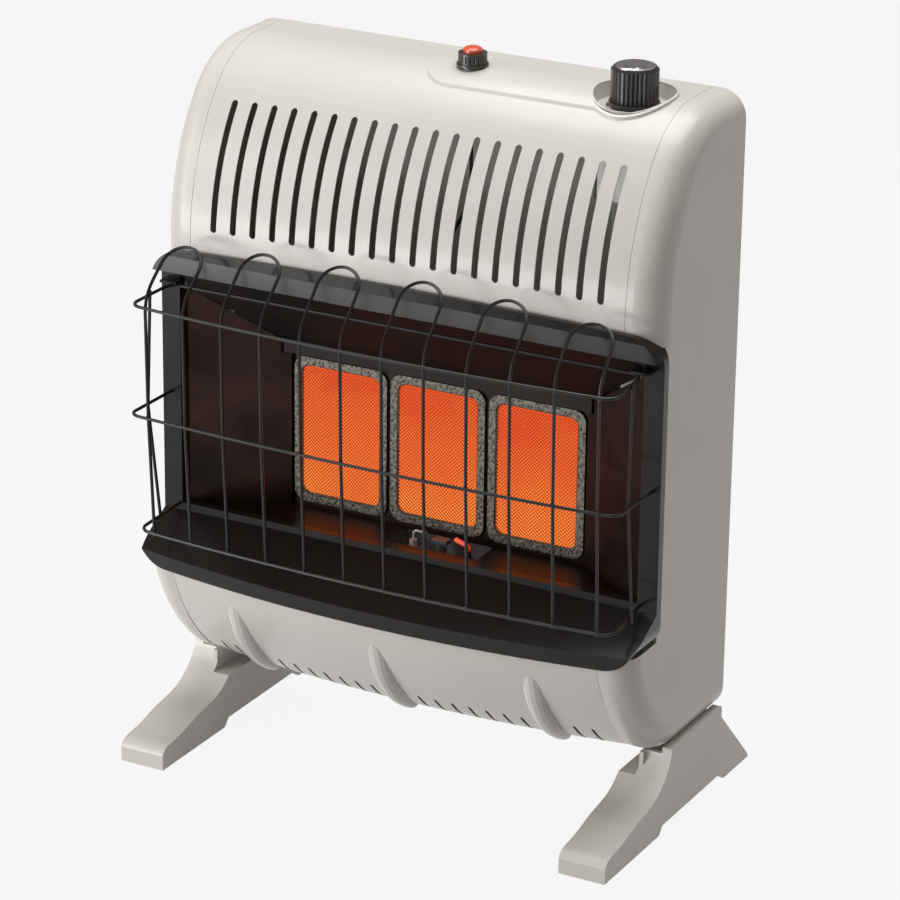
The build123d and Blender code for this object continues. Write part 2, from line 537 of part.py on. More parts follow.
with BuildPart() as top_reflector:
    with BuildSketch(Plane.YZ.offset(-CASE_HALF)):
        with BuildLine():
            low = Polyline((20, HOUSING_HIGH), (-10, HOUSING_HIGH), (-10, REFLECTOR_RISE_Z),
                           (REFLECTOR_TOP_Y, BEZEL_RAIL_LOW - 4), (REFLECTOR_TOP_Y, BEZEL_RAIL_LOW - LINER),
                           (REFLECTOR_TOP_Y + 12, BEZEL_RAIL_LOW - LINER))
            Polyline(low @ 1, (REFLECTOR_TOP_Y + 12, BEZEL_RAIL_LOW), (REFLECTOR_TOP_Y - LINER, BEZEL_RAIL_LOW),
                     (REFLECTOR_TOP_Y - LINER, BEZEL_RAIL_LOW - 4.5), (-10 - LINER, REFLECTOR_RISE_Z - 0.5),
                     (-10 - LINER, HOUSING_HIGH + LINER), (20, HOUSING_HIGH + LINER), low @ 0)
        make_face()
    extrude(amount=2 * CASE_HALF)
    with BuildSketch(Plane.XY.offset(HOUSING_HIGH - 5)):
        with BuildLine():
            Polyline((HOUSING_HALF - 1, 30), (HOUSING_HALF - 1, -6.5), (WING_X - 3, RECESS_Y - 1), (WING_X - 3, -90),
                     (3 - WING_X, -90), (3 - WING_X, RECESS_Y - 1), (1 - HOUSING_HALF, -6.5),
                     (1 - HOUSING_HALF, 30), close=True)
        make_face()
    extrude(amount=120, mode=Mode.INTERSECT)
save(top_reflector.part, "top_reflector")

with BuildPart() as right_reflector:
    with BuildSketch(Plane.XY.offset(SHELF_LOW + LINER + 0.1)):
        with BuildLine():
            Polyline((HOUSING_HALF, 20), (HOUSING_HALF, -6), (WING_X, RECESS_Y - LINER), (CASE_HALF - 3, RECESS_Y - LINER),
                     (CASE_HALF - 3, RECESS_Y), (WING_X + 0.4, RECESS_Y), (HOUSING_HALF + LINER, -5.6),
                     (HOUSING_HALF + LINER, 20), close=True)
        make_face()
    extrude(amount=BEZEL_RAIL_LOW - SHELF_LOW - 4)
    with BuildSketch(Plane.YZ.offset(HOUSING_HALF - 20)):
        with BuildLine():
            Polyline((30, 0), (30, HOUSING_HIGH - 0.6), (-10 - 2 * LINER, HOUSING_HIGH - 0.6),
                     (-10 - 2 * LINER, wing_slope(-10) - 1.5), (REFLECTOR_TOP_Y, wing_slope(REFLECTOR_TOP_Y) - 1.5),
                     (REFLECTOR_TOP_Y, 0), close=True)
        make_face()
    extrude(amount=200, mode=Mode.INTERSECT)
save(right_reflector.part, "right_reflector")
save(mirror(right_reflector.part, about=Plane.YZ), "left_reflector")


# %% Pilot

PILOT_Y, PILOT_LOW = -22.0, 222.0
PILOT_X, PROBE_X, SPARK_X = 15.0, 45.0, -15.0

with BuildPart() as pilot_bracket:
    box((-30, 60), (-40, -5), (PILOT_LOW, PILOT_LOW + 1.5))
    box((-30, 60), (-6.5, -5), (PILOT_LOW, SHELF_LOW))
    box((-30, 60), (-41.5, -40), (PILOT_LOW, PILOT_LOW + 11))
    for x in (SPARK_X, PILOT_X, PROBE_X):
        with Locations((x, PILOT_Y, PILOT_LOW)):
            Cylinder(2.6, 10, mode=Mode.SUBTRACT)
save(pilot_bracket.part, "pilot_bracket")

with BuildPart() as pilot_burner:
    with Locations((PILOT_X, PILOT_Y, PILOT_LOW + 1.5)):
        Cylinder(5, 14, align=(Align.CENTER, Align.CENTER, Align.MIN))
    box((PILOT_X - 8, PILOT_X + 8), (PILOT_Y - 5, PILOT_Y + 5), (PILOT_LOW + 15.5, PILOT_LOW + 20))
save(pilot_burner.part, "pilot_burner")

with BuildPart() as thermocouple:
    with Locations((PROBE_X, PILOT_Y, PILOT_LOW + 1.5)):
        Cylinder(4, 6, align=(Align.CENTER, Align.CENTER, Align.MIN))
    add(tube([(PROBE_X, PILOT_Y, PILOT_LOW + 7), (PROBE_X, PILOT_Y, PILOT_LOW + 17.8),
              (PROBE_X - 15, PILOT_Y, PILOT_LOW + 22.5)], 2.4, bend=6))
save(thermocouple.part, "thermocouple")

with BuildPart() as spark_electrode:
    with Locations((SPARK_X, PILOT_Y, PILOT_LOW + 1.5)):
        Cylinder(4, 12, align=(Align.CENTER, Align.CENTER, Align.MIN))
    add(tube([(SPARK_X, PILOT_Y, PILOT_LOW + 12), (SPARK_X, PILOT_Y, PILOT_LOW + 23),
              (SPARK_X + 14, PILOT_Y, PILOT_LOW + 23)], 1.0, bend=4))
save(spark_electrode.part, "spark_electrode")


# %% Controls

KNOB_BASE, WELL_RADIUS, WELL_FLOOR = CASE_TOP - 10.5, 25.5, CASE_TOP - 15.8
DISH_SHEET = 1.5
PLATE_TOP = CASE_TOP + PLATE_RISE
BARREL_RADIUS, BARREL_BORE = 11.4, 9.5
BARREL_LOW = CASE_TOP - 16.0
STEM_RADIUS, STEM_FIT = 4.0, 0.05
HUB_RADIUS = 7.5
CONTROL_HOLE = DISH_OUTER - 0.6  # hole through the cover under the dish


def plate_outline():
    """Rounded outline of the control plate, seen from above."""
    with BuildSketch() as outline:
        with Locations((IGNITER_X - 9, CONTROL_Y)):
            Circle(PLATE_HALF)
        with Locations((KNOB_X, CONTROL_Y)):
            Circle(DISH_OUTER)
        with Locations(((PLATE_LEFT_X + KNOB_X) / 2, CONTROL_Y)):
            Rectangle(KNOB_X - PLATE_LEFT_X, 2 * PLATE_HALF)
    return outline.sketch


with BuildPart() as plate_skin:
    with BuildSketch(Plane.XY.offset(DISH_FRONT_RIM - 30)):
        add(plate_outline())
    extrude(amount=60)
    extrude(to_extrude=wrap_outline(-SEAM_X, -PLATE_RISE, BACK_Y), amount=2 * SEAM_X, dir=(1, 0, 0),
            mode=Mode.INTERSECT)
    extrude(to_extrude=wrap_outline(-SEAM_X, 0, BACK_Y), amount=2 * SEAM_X, dir=(1, 0, 0), mode=Mode.SUBTRACT)
    with Locations((KNOB_X, CONTROL_Y, CASE_TOP)):
        Cylinder(DISH_RIM, 60, mode=Mode.SUBTRACT)
with BuildPart() as dish_limit:
    extrude(to_extrude=wrap_outline(-SEAM_X, -PLATE_RISE, BACK_Y), amount=2 * SEAM_X, dir=(1, 0, 0))
    box((0, SEAM_X), (-40, BACK_Y), (DISH_FRONT_RIM - 80, DISH_FRONT_RIM))
with BuildPart() as dish:
    with BuildSketch(Plane.XZ.offset(-CONTROL_Y)):
        with BuildLine():
            Polyline((KNOB_X + DISH_RIM, PLATE_TOP - 1.2), (KNOB_X + DISH_FLOOR_R + 1.5, DISH_FLOOR),
                     (KNOB_X + WELL_RADIUS, DISH_FLOOR), (KNOB_X + WELL_RADIUS, WELL_FLOOR),
                     (KNOB_X + HUB_RADIUS + 1, WELL_FLOOR), (KNOB_X + HUB_RADIUS + 1, WELL_FLOOR - DISH_SHEET),
                     (KNOB_X + WELL_RADIUS + DISH_SHEET, WELL_FLOOR - DISH_SHEET),
                     (KNOB_X + WELL_RADIUS + DISH_SHEET, DISH_FLOOR - DISH_SHEET),
                     (KNOB_X + DISH_FLOOR_R + 2.6, DISH_FLOOR - DISH_SHEET),
                     (KNOB_X + DISH_RIM + 1.2, PLATE_TOP - 1.2), close=True)
        make_face()
    revolve(axis=Axis((KNOB_X, CONTROL_Y, 0), (0, 0, 1)))
    add(dish_limit.part, mode=Mode.INTERSECT)
with BuildPart(mode=Mode.PRIVATE) as igniter_hole:
    with Locations((IGNITER_X, CONTROL_Y, CASE_TOP)):
        Cylinder(BARREL_RADIUS + 0.2, 40)
with BuildPart() as control_plate:
    add(plate_skin.part)
    add(dish.part)
    add(igniter_hole.part, mode=Mode.SUBTRACT)
print("plate", [round(s.volume) for s in control_plate.solids()])
save(control_plate.part, "control_plate")

VALVE_X, VALVE_Y, VALVE_Z = (KNOB_X - 30, KNOB_X + 30), (15.0, 60.0), (CASE_TOP - 98, CASE_TOP - 33)
BONNET_TOP, SPRING_TOP, COLLAR_TOP = CASE_TOP - 29, CASE_TOP - 22.5, CASE_TOP - 18.5

with BuildPart() as gas_valve:
    box(VALVE_X, VALVE_Y, VALVE_Z)
    chamfer(gas_valve.edges().filter_by(Axis.Z), 6)
    with Locations((KNOB_X, CONTROL_Y, VALVE_Z[1])):
        Cylinder(15, BONNET_TOP - VALVE_Z[1], align=(Align.CENTER, Align.CENTER, Align.MIN))
    with Locations((KNOB_X, CONTROL_Y, VALVE_Z[1] - 23)):
        Cylinder(STEM_RADIUS + STEM_FIT, 60, align=(Align.CENTER, Align.CENTER, Align.MIN), mode=Mode.SUBTRACT)
save(gas_valve.part, "gas_valve")

with BuildPart() as valve_bracket:
    box((VALVE_X[0] - 16, VALVE_X[1] + 16), (12, 63), (VALVE_Z[1], VALVE_Z[1] + 1.5))
    with Locations((KNOB_X, CONTROL_Y, VALVE_Z[1])):
        Cylinder(15.2, 10, mode=Mode.SUBTRACT)
    for inner, outer, foot in ((KNOB_X - 44.5, KNOB_X - 46, KNOB_X - 56), (KNOB_X + 44.5, KNOB_X + 46, KNOB_X + 50)):
        box((inner, outer), (50, 63), (VALVE_Z[1], CASE_TOP - SHEET))
        box((outer, foot), (50, 63), (CASE_TOP - SHEET - 1.5, CASE_TOP - SHEET))
save(valve_bracket.part, "valve_bracket")

with BuildPart() as valve_stem:
    with Locations((KNOB_X, CONTROL_Y, VALVE_Z[1] - 15)):
        Cylinder(STEM_RADIUS, 60, align=(Align.CENTER, Align.CENTER, Align.MIN))
save(valve_stem.part, "valve_stem")

with BuildPart() as knob_spring:
    with Locations((KNOB_X, CONTROL_Y, BONNET_TOP)):
        Cylinder(7.5, SPRING_TOP - BONNET_TOP, align=(Align.CENTER, Align.CENTER, Align.MIN))
        Cylinder(6.2, SPRING_TOP - BONNET_TOP, align=(Align.CENTER, Align.CENTER, Align.MIN), mode=Mode.SUBTRACT)
save(knob_spring.part, "knob_spring")

with BuildPart() as thrust_collar:
    with Locations((KNOB_X, CONTROL_Y, SPRING_TOP)):
        Cylinder(9, COLLAR_TOP - SPRING_TOP, align=(Align.CENTER, Align.CENTER, Align.MIN))
        Cylinder(STEM_RADIUS + STEM_FIT, 6, align=(Align.CENTER, Align.CENTER, Align.MIN), mode=Mode.SUBTRACT)
save(thrust_collar.part, "thrust_collar")

KNOB_TOP = KNOB_BASE + KNOB_HEIGHT
CAP_RADIUS = 18.6
with BuildPart() as control_knob:
    with BuildSketch(Plane.XY.offset(KNOB_BASE)):
        with Locations((KNOB_X, CONTROL_Y)):
            Circle(KNOB_RADIUS + 1.4)
    extrude(amount=3.5)
    with BuildSketch(Plane.XY.offset(KNOB_BASE + 3.5)):
        with Locations((KNOB_X, CONTROL_Y)):
            Circle(KNOB_RADIUS)
            with PolarLocations(KNOB_RADIUS + 0.4, KNOB_FLUTES):
                RegularPolygon(1.7, 4, mode=Mode.SUBTRACT)
    extrude(amount=KNOB_HEIGHT - 3.5 - 3.5)
    with BuildSketch(Plane.XY.offset(KNOB_TOP - 3.5)):
        with Locations((KNOB_X, CONTROL_Y)):
            Circle(KNOB_RADIUS - 0.6)
    extrude(amount=2.2, taper=35)
    with Locations((KNOB_X, CONTROL_Y, COLLAR_TOP)):
        Cylinder(HUB_RADIUS, 8.5, align=(Align.CENTER, Align.CENTER, Align.MIN))
        Cylinder(STEM_RADIUS + 0.03, CASE_TOP + 12 - COLLAR_TOP, align=(Align.CENTER, Align.CENTER, Align.MIN),
                 mode=Mode.SUBTRACT)
save(control_knob.part, "control_knob")

with BuildPart() as knob_cap:
    with BuildSketch(Plane.XZ.offset(-CONTROL_Y)):
        with BuildLine():
            low = KNOB_TOP - 1.3
            Polyline((KNOB_X, low), (KNOB_X + CAP_RADIUS, low), (KNOB_X + CAP_RADIUS, low + 1.0),
                     (KNOB_X + CAP_RADIUS - 1.6, low + 1.6), (KNOB_X + 10.5, low + 1.0), (KNOB_X + 9.5, low + 2.6),
                     (KNOB_X, low + 2.6), close=True)
        make_face()
    revolve(axis=Axis((KNOB_X, CONTROL_Y, 0), (0, 0, 1)))
save(knob_cap.part, "knob_cap")

COLLAR_FLANGE, COLLAR_BODY, COLLAR_RIM = 15.0, 13.5, PLATE_TOP + 12
BUTTON_LOW, BUTTON_HIGH = CASE_TOP + 8, CASE_TOP + 19.5
PIEZO_RADIUS, PIEZO_TOP, PIEZO_LOW = 9.3, CASE_TOP + 1, CASE_TOP - 48
IGNITER_STEM = 3.5

with BuildPart() as igniter_collar:
    with Locations((IGNITER_X, CONTROL_Y, PLATE_TOP)):
        Cylinder(COLLAR_FLANGE, 2, align=(Align.CENTER, Align.CENTER, Align.MIN))
        Cylinder(COLLAR_BODY, COLLAR_RIM - PLATE_TOP, align=(Align.CENTER, Align.CENTER, Align.MIN))
    with BuildSketch(Plane.XY.offset(PLATE_TOP + 3.5)):
        with Locations((IGNITER_X, CONTROL_Y)):
            with PolarLocations(COLLAR_BODY + 0.3, 20):
                RegularPolygon(1.2, 4)
    extrude(amount=COLLAR_RIM - PLATE_TOP - 5.5, mode=Mode.SUBTRACT)
    with Locations((IGNITER_X, CONTROL_Y, BARREL_LOW)):
        Cylinder(BARREL_RADIUS, PLATE_TOP - BARREL_LOW, align=(Align.CENTER, Align.CENTER, Align.MIN))
        Cylinder(BARREL_BORE, 40, align=(Align.CENTER, Align.CENTER, Align.MIN), mode=Mode.SUBTRACT)
save(igniter_collar.part, "igniter_collar")

with BuildPart() as piezo_body:
    with Locations((IGNITER_X, CONTROL_Y, PIEZO_LOW)):
        Cylinder(PIEZO_RADIUS, PIEZO_TOP - PIEZO_LOW, align=(Align.CENTER, Align.CENTER, Align.MIN))
    with Locations((IGNITER_X, CONTROL_Y, BARREL_LOW)):
        Cylinder(BARREL_RADIUS + 1.5, 4, align=(Align.CENTER, Align.CENTER, Align.MAX))
    with Locations((IGNITER_X, CONTROL_Y, PIEZO_TOP)):
        Cylinder(IGNITER_STEM + STEM_FIT, 24, align=(Align.CENTER, Align.CENTER, Align.MAX), mode=Mode.SUBTRACT)
save(piezo_body.part, "piezo_body")

with BuildPart() as igniter_spring:
    with Locations((IGNITER_X, CONTROL_Y, PIEZO_TOP)):
        Cylinder(6.5, BUTTON_LOW - PIEZO_TOP, align=(Align.CENTER, Align.CENTER, Align.MIN))
        Cylinder(5.2, BUTTON_LOW - PIEZO_TOP, align=(Align.CENTER, Align.CENTER, Align.MIN), mode=Mode.SUBTRACT)
save(igniter_spring.part, "igniter_spring")

with BuildPart() as igniter_button:
    with Locations((IGNITER_X, CONTROL_Y, BUTTON_LOW)):
        Cylinder(BUTTON_RADIUS, BUTTON_HIGH - BUTTON_LOW, align=(Align.CENTER, Align.CENTER, Align.MIN))
    chamfer(igniter_button.edges().sort_by(Axis.Z)[-1], 1.6, 2.4)
    with Locations((IGNITER_X, CONTROL_Y, BUTTON_LOW)):
        Cylinder(IGNITER_STEM, 21, align=(Align.CENTER, Align.CENTER, Align.MAX))
save(igniter_button.part, "igniter_button")

with BuildPart() as top_holes:
    with Locations((KNOB_X, CONTROL_Y, CASE_TOP)):
        Cylinder(CONTROL_HOLE, 60)
    with Locations((IGNITER_X, CONTROL_Y, CASE_TOP)):
        Cylinder(BARREL_RADIUS + 0.2, 60)
save(front_cover.part - top_holes.part, "front_cover")


# %% Gas line

GAS_TUBE, PILOT_TUBE_R, LEAD_RADIUS = 4.75, 2.0, 1.75
REGULATOR_X, REGULATOR_Z = (KNOB_X - 25, KNOB_X + 37), (115.0, 165.0)
SUPPLY_X = KNOB_X + 28.0

with BuildPart() as pressure_regulator:
    box(REGULATOR_X, (38, BACK_INNER_Y - SHEET), REGULATOR_Z)
    chamfer(pressure_regulator.edges().filter_by(Axis.Y), 5)
    with Locations(Location((INLET_X, 38, INLET_Z), (90, 0, 0))):
        Cylinder(18, 9, align=(Align.CENTER, Align.CENTER, Align.MIN))
    with Locations(Location((INLET_X, BACK_INNER_Y - SHEET, INLET_Z), (-90, 0, 0))):
        Cylinder(FLARE_RADIUS, FLARE_REACH + 2 * SHEET, align=(Align.CENTER, Align.CENTER, Align.MIN))
save(pressure_regulator.part, "pressure_regulator")

routes = {
    "supply_tube": (GAS_TUBE, 16, [(SUPPLY_X, INLET_Y, REGULATOR_Z[1]), (SUPPLY_X, INLET_Y, VALVE_Z[0] - 65),
                                   (SUPPLY_X - 11, CONTROL_Y, VALVE_Z[0] - 28), (SUPPLY_X - 11, CONTROL_Y, VALVE_Z[0])]),
    "burner_tube": (GAS_TUBE, 14, [(BURNER_TUBE_X, CONTROL_Y, VALVE_Z[0]), (BURNER_TUBE_X, CONTROL_Y, MIXER_Z + 140),
                                   (BURNER_TUBE_X, MIXER_Y, MIXER_Z + 100), (BURNER_TUBE_X, MIXER_Y, MIXER_Z + 8)]),
    "pilot_tube": (PILOT_TUBE_R, 8, [(PILOT_X, PILOT_Y, PILOT_LOW + 1.5), (PILOT_X, PILOT_Y, 205), (PILOT_X, 50, 205),
                                     (60, 84, 205), (130, 84, 205), (130, 84, VALVE_Z[0] - 90), (KNOB_X + 1, 50, VALVE_Z[0] - 30),
                                     (KNOB_X + 1, CONTROL_Y, VALVE_Z[0] - 14), (KNOB_X + 1, CONTROL_Y, VALVE_Z[0])]),
    "ignition_lead": (LEAD_RADIUS, 8, [(IGNITER_X, CONTROL_Y, PIEZO_LOW), (IGNITER_X, CONTROL_Y, 560),
                                       (-30, 60, 500), (-30, 60, 208), (SPARK_X, PILOT_Y, 208),
                                       (SPARK_X, PILOT_Y, PILOT_LOW + 1.5)]),
}
for label, (radius, bend, points) in routes.items():
    save(tube(points, radius, bend=bend), label)


# %% Wire guard

SINK = WIRE - WELD  # distance between the middles of two welded wires
GUARD_RADIUS = (GUARD_HALF**2 + GUARD_BOW**2) / (2 * GUARD_BOW)


def guard_bow(x):
    """How far the guard stands forward at this x of where it is at its ends."""
    return GUARD_BOW - (GUARD_RADIUS - sqrt(GUARD_RADIUS**2 - x**2))


def bowed_wire(front, rear, half, closed, bend=12.0):
    """Wire with a bowed front run and straight side runs to the rear, as a loop or open."""
    slope = Vector(0, rear[0] - front[0], rear[1] - front[1])
    level = Plane(origin=(0, front[0], front[1]), x_dir=(1, 0, 0), z_dir=Vector(1, 0, 0).cross(slope))
    depth = slope.length
    with BuildLine(level) as route:
        Line((-half[1], depth), (-half[0], 0))
        ThreePointArc((-half[0], 0), (0, -GUARD_BOW), (half[0], 0))
        Line((half[0], 0), (half[1], depth))
        if closed:
            Line((half[1], depth), (-half[1], depth))
            fillet(route.vertices(), bend)
        else:
            fillet(route.vertices().group_by(Axis.Y)[0], bend)
    path = route.wire()
    start = path @ 0
    with BuildPart() as run:
        with BuildSketch(Plane(origin=start, z_dir=path % 0)):
            RegularPolygon(WIRE / 2, WIRE_SIDES)
        sweep(path=path)
    return run.part


save(bowed_wire((HOOP_Y, HOOP_Z), (HOOP_REAR_Y, HOOP_Z + 3), (GUARD_HALF, GUARD_HALF - 5), True), "guard_hoop")
save(bowed_wire((RAIL_Y, RAIL_Z), (BEZEL_FLANGE_Y + WELD, RAIL_Z), (GUARD_HALF + 4, GUARD_HALF + 4), False),
     "guard_rail_middle")
save(bowed_wire((SILL_Y, SILL_Z), (BEZEL_FLANGE_Y + WELD, SILL_Z + 6), (GUARD_HALF, GUARD_HALF - 5), False),
     "guard_rail_lower")
print("guard rails done")

KNEE_RADIUS = 40.0
APEXES = {0.5: (-105.6, 526.7), 1.5: (-103.2, 523.5), 2.5: (-101.8, 516.0)}
for i in range(HAIRPIN_COUNT):
    step = i - (HAIRPIN_COUNT - 1) / 2
    x = step * HAIRPIN_PITCH
    y = HOOP_Y + SINK - guard_bow(x)
    apex_y, apex_z = APEXES[abs(step)]
    turn = degrees(asin(x / GUARD_RADIUS))
    half = LEG_PITCH / 2
    side_view = [(SILL_Y - HOOP_Y, SILL_Z - 4), (RAIL_Y - HOOP_Y, RAIL_Z), (-0.3, HOOP_Z + 11), (apex_y - y, apex_z)]
    points = [(-half, dy, z) for dy, z in side_view] + [(half, dy, z) for dy, z in reversed(side_view)]
    with BuildLine() as route:
        FilletPolyline(*points, radius=[60, KNEE_RADIUS, half - 0.1, half - 0.1, KNEE_RADIUS, 60])
    path = Pos(x, y, 0) * Rot(0, 0, turn) * route.wire()
    with BuildPart() as hairpin:
        with BuildSketch(Plane(origin=path @ 0, z_dir=path % 0)):
            RegularPolygon(WIRE / 2, WIRE_SIDES)
        sweep(path=path)
    save(hairpin.part, f"guard_hairpin_{i + 1}")


# Side wires join the three runs, and clips hold the loop's rear run to the bezel.
HOOP_SIDE_X = GUARD_HALF - 5 * (-108 - HOOP_Y) / (HOOP_REAR_Y - HOOP_Y)
SILL_SIDE_X = GUARD_HALF - 5 * (-96 - SILL_Y) / (BEZEL_FLANGE_Y - SILL_Y)
SILL_SIDE_Z = SILL_Z + 6 * (-96 - SILL_Y) / (BEZEL_FLANGE_Y - SILL_Y)
side_wire = tube([(HOOP_SIDE_X + SINK, -108, HOOP_Z + 4), (GUARD_HALF + 4 - SINK, -113, RAIL_Z),
                  (SILL_SIDE_X + SINK, -96, SILL_SIDE_Z - 4)], WIRE / 2, bend=60)
save(side_wire, "guard_side_right")
save(mirror(side_wire, about=Plane.YZ), "guard_side_left")

with BuildPart() as guard_clips:
    for side in (-1, 1):
        box((side * (BEZEL_HALF - 26), side * (BEZEL_HALF - 8)), (BEZEL_FLANGE_Y - 16, BEZEL_FLANGE_Y),
            (HOOP_Z + 3 + WIRE / 2, HOOP_Z + 5.4 + WIRE / 2))
save(guard_clips.part, "guard_clips")


# %% Feet

ARCH_LOW_Z, ARCH_FRONT_Y, ARCH_BACK_Y = 8.0, -36.0, 87.0
SADDLE_FRONT_Y, SADDLE_BACK_Y = -20.0, 90.0
FOOT_STEP_Z = 53.0


def foot_outline(x, inset, hem):
    """Side view of a foot at this x: toe, shin, saddle and heel, moved inwards by inset."""
    with BuildSketch(Plane.YZ.offset(x)) as outline:
        with BuildLine():
            toe = Line((-FOOT_REACH + inset, hem), (-FOOT_REACH + inset, 15 - inset))
            instep = Spline(toe @ 1, (-136, 24 - inset), (-94, 33 - inset), (-52, 42 - inset), (-34 + inset, 54 - inset),
                            (SADDLE_FRONT_Y + inset, 80 - inset), tangents=((0.3, 1), (0.2, 1)))
            Polyline(instep @ 1, (SADDLE_BACK_Y - inset, 80 - inset), (SADDLE_BACK_Y - inset, 69),
                     (FOOT_REACH - 3 - inset, 5), (FOOT_REACH - inset, hem), (ARCH_BACK_Y + 13 + inset, hem),
                     (ARCH_BACK_Y, ARCH_LOW_Z + hem), (ARCH_FRONT_Y, ARCH_LOW_Z + hem),
                     (ARCH_FRONT_Y - 7 - inset, hem), toe @ 0)
        make_face()
    return outline.sketch


with BuildPart() as right_foot:
    extrude(to_extrude=foot_outline(FOOT_INNER_X, 0, 0), amount=FOOT_OUTER_X - FOOT_INNER_X, dir=(1, 0, 0))
    extrude(to_extrude=foot_outline(FOOT_INNER_X + FOOT_WALL, FOOT_WALL, -1),
            amount=FOOT_OUTER_X - FOOT_INNER_X - 2 * FOOT_WALL, dir=(1, 0, 0), mode=Mode.SUBTRACT)
    box((FOOT_INNER_X + FOOT_WALL, FOOT_OUTER_X - FOOT_WALL), (ARCH_FRONT_Y - 9, ARCH_BACK_Y + 16), (-1, 40), Mode.SUBTRACT)
    box((FOOT_INNER_X - 1, SADDLE_INNER_X), (-200, 200), (FOOT_STEP_Z, 100), Mode.SUBTRACT)
    box((FOOT_INNER_X, SADDLE_INNER_X + FOOT_WALL), (ARCH_FRONT_Y + 4, SADDLE_BACK_Y - 0.01), (FOOT_STEP_Z - FOOT_WALL, FOOT_STEP_Z))
    box((SADDLE_INNER_X, SADDLE_INNER_X + FOOT_WALL), (SADDLE_FRONT_Y - 8, SADDLE_BACK_Y - 0.01), (FOOT_STEP_Z - FOOT_WALL, 76))
    add(end_cap_solid(0, BACK_Y + 20), mode=Mode.SUBTRACT)
    box((SADDLE_INNER_X - 10, SADDLE_INNER_X + 20), (-60, 120), (CASE_FLOOR, 120), Mode.SUBTRACT)
print("foot", [round(s.volume) for s in right_foot.solids()], right_foot.part.bounding_box())
save(right_foot.part, "right_foot")
save(mirror(right_foot.part, about=Plane.YZ), "left_foot")
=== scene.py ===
# %% [markdown]
# # A vent-free infrared gas heater
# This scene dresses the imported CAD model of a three-plaque gas heater. The CAD solids already
# have the real shapes, so most of the work here is finishes: baked paint, glossy enamel,
# glowing ceramic, heat-tinted steel and wire. A few pieces that repeat, such as the diamond
# screens in front of the plaques, the coil springs and the weld beads, are made here with
# Geometry Nodes. Everything is in metres, in the CAD frame: the front faces -Y.

# %% Load the frame
import math

import bpy
from mathutils import Matrix, Vector
from mathutils.bvhtree import BVHTree


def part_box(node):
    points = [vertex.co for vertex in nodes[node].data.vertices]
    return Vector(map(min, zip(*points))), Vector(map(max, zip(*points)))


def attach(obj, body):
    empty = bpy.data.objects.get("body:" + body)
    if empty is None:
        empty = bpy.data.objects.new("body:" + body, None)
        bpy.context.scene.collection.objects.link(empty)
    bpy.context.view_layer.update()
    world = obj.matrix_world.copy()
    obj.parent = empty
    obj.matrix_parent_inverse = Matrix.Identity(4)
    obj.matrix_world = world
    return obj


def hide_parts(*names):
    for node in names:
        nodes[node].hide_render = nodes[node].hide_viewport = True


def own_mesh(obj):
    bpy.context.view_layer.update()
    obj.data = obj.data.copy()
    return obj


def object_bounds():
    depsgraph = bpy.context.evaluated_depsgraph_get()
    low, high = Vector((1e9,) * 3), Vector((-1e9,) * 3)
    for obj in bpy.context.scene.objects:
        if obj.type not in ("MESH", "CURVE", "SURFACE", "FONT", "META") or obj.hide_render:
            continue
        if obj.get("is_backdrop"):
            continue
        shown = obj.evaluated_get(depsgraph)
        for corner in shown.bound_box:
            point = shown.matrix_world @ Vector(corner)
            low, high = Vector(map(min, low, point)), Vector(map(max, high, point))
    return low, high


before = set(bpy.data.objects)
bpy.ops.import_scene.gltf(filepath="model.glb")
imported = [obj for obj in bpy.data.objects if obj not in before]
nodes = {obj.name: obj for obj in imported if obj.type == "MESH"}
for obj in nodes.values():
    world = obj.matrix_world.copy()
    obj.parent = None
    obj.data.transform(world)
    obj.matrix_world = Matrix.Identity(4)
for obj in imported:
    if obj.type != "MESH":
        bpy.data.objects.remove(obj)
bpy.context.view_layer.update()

# %% [markdown]
# ## Camera
# The photograph was taken from high up on the right with a long lens. Fitting a camera to the
# heater's own corners gave its place, its lens and a small roll, which are written out here.

# %% Camera
CAMERA_PLACE = Vector((1.64728, -3.03331, 1.65685))
CAMERA_FORWARD = Vector((-0.442732, 0.820904, -0.360700)).normalized()
CAMERA_ROLL = math.radians(-0.743)
LENS_MM, SENSOR_MM = 156.65, 36

level = CAMERA_FORWARD.cross(Vector((0, 0, 1))).normalized()
downward = CAMERA_FORWARD.cross(level)
right = math.cos(CAMERA_ROLL) * level + math.sin(CAMERA_ROLL) * downward
upward = right.cross(CAMERA_FORWARD)
camera_data = bpy.data.cameras.new("camera")
camera_data.lens = LENS_MM
camera_data.sensor_width = SENSOR_MM
camera = bpy.data.objects.new("camera", camera_data)
camera_turn = Matrix((right, upward, -CAMERA_FORWARD)).transposed().to_4x4()
camera.matrix_world = Matrix.Translation(CAMERA_PLACE) @ camera_turn
bpy.context.scene.collection.objects.link(camera)
bpy.context.scene.camera = camera
bpy.context.scene.view_settings.view_transform = "Standard"
print("camera looks along", [round(v, 3) for v in CAMERA_FORWARD])

# %% [markdown]
# ## Studio light
# The photograph is lit from the front left: the lower left of the cabinet is the brightest, the
# right side falls off to a warm grey and the top is almost white. A broad lamp at the left, a
# low one near the floor and one overhead do that, with a dim, warm world to fill the shade.

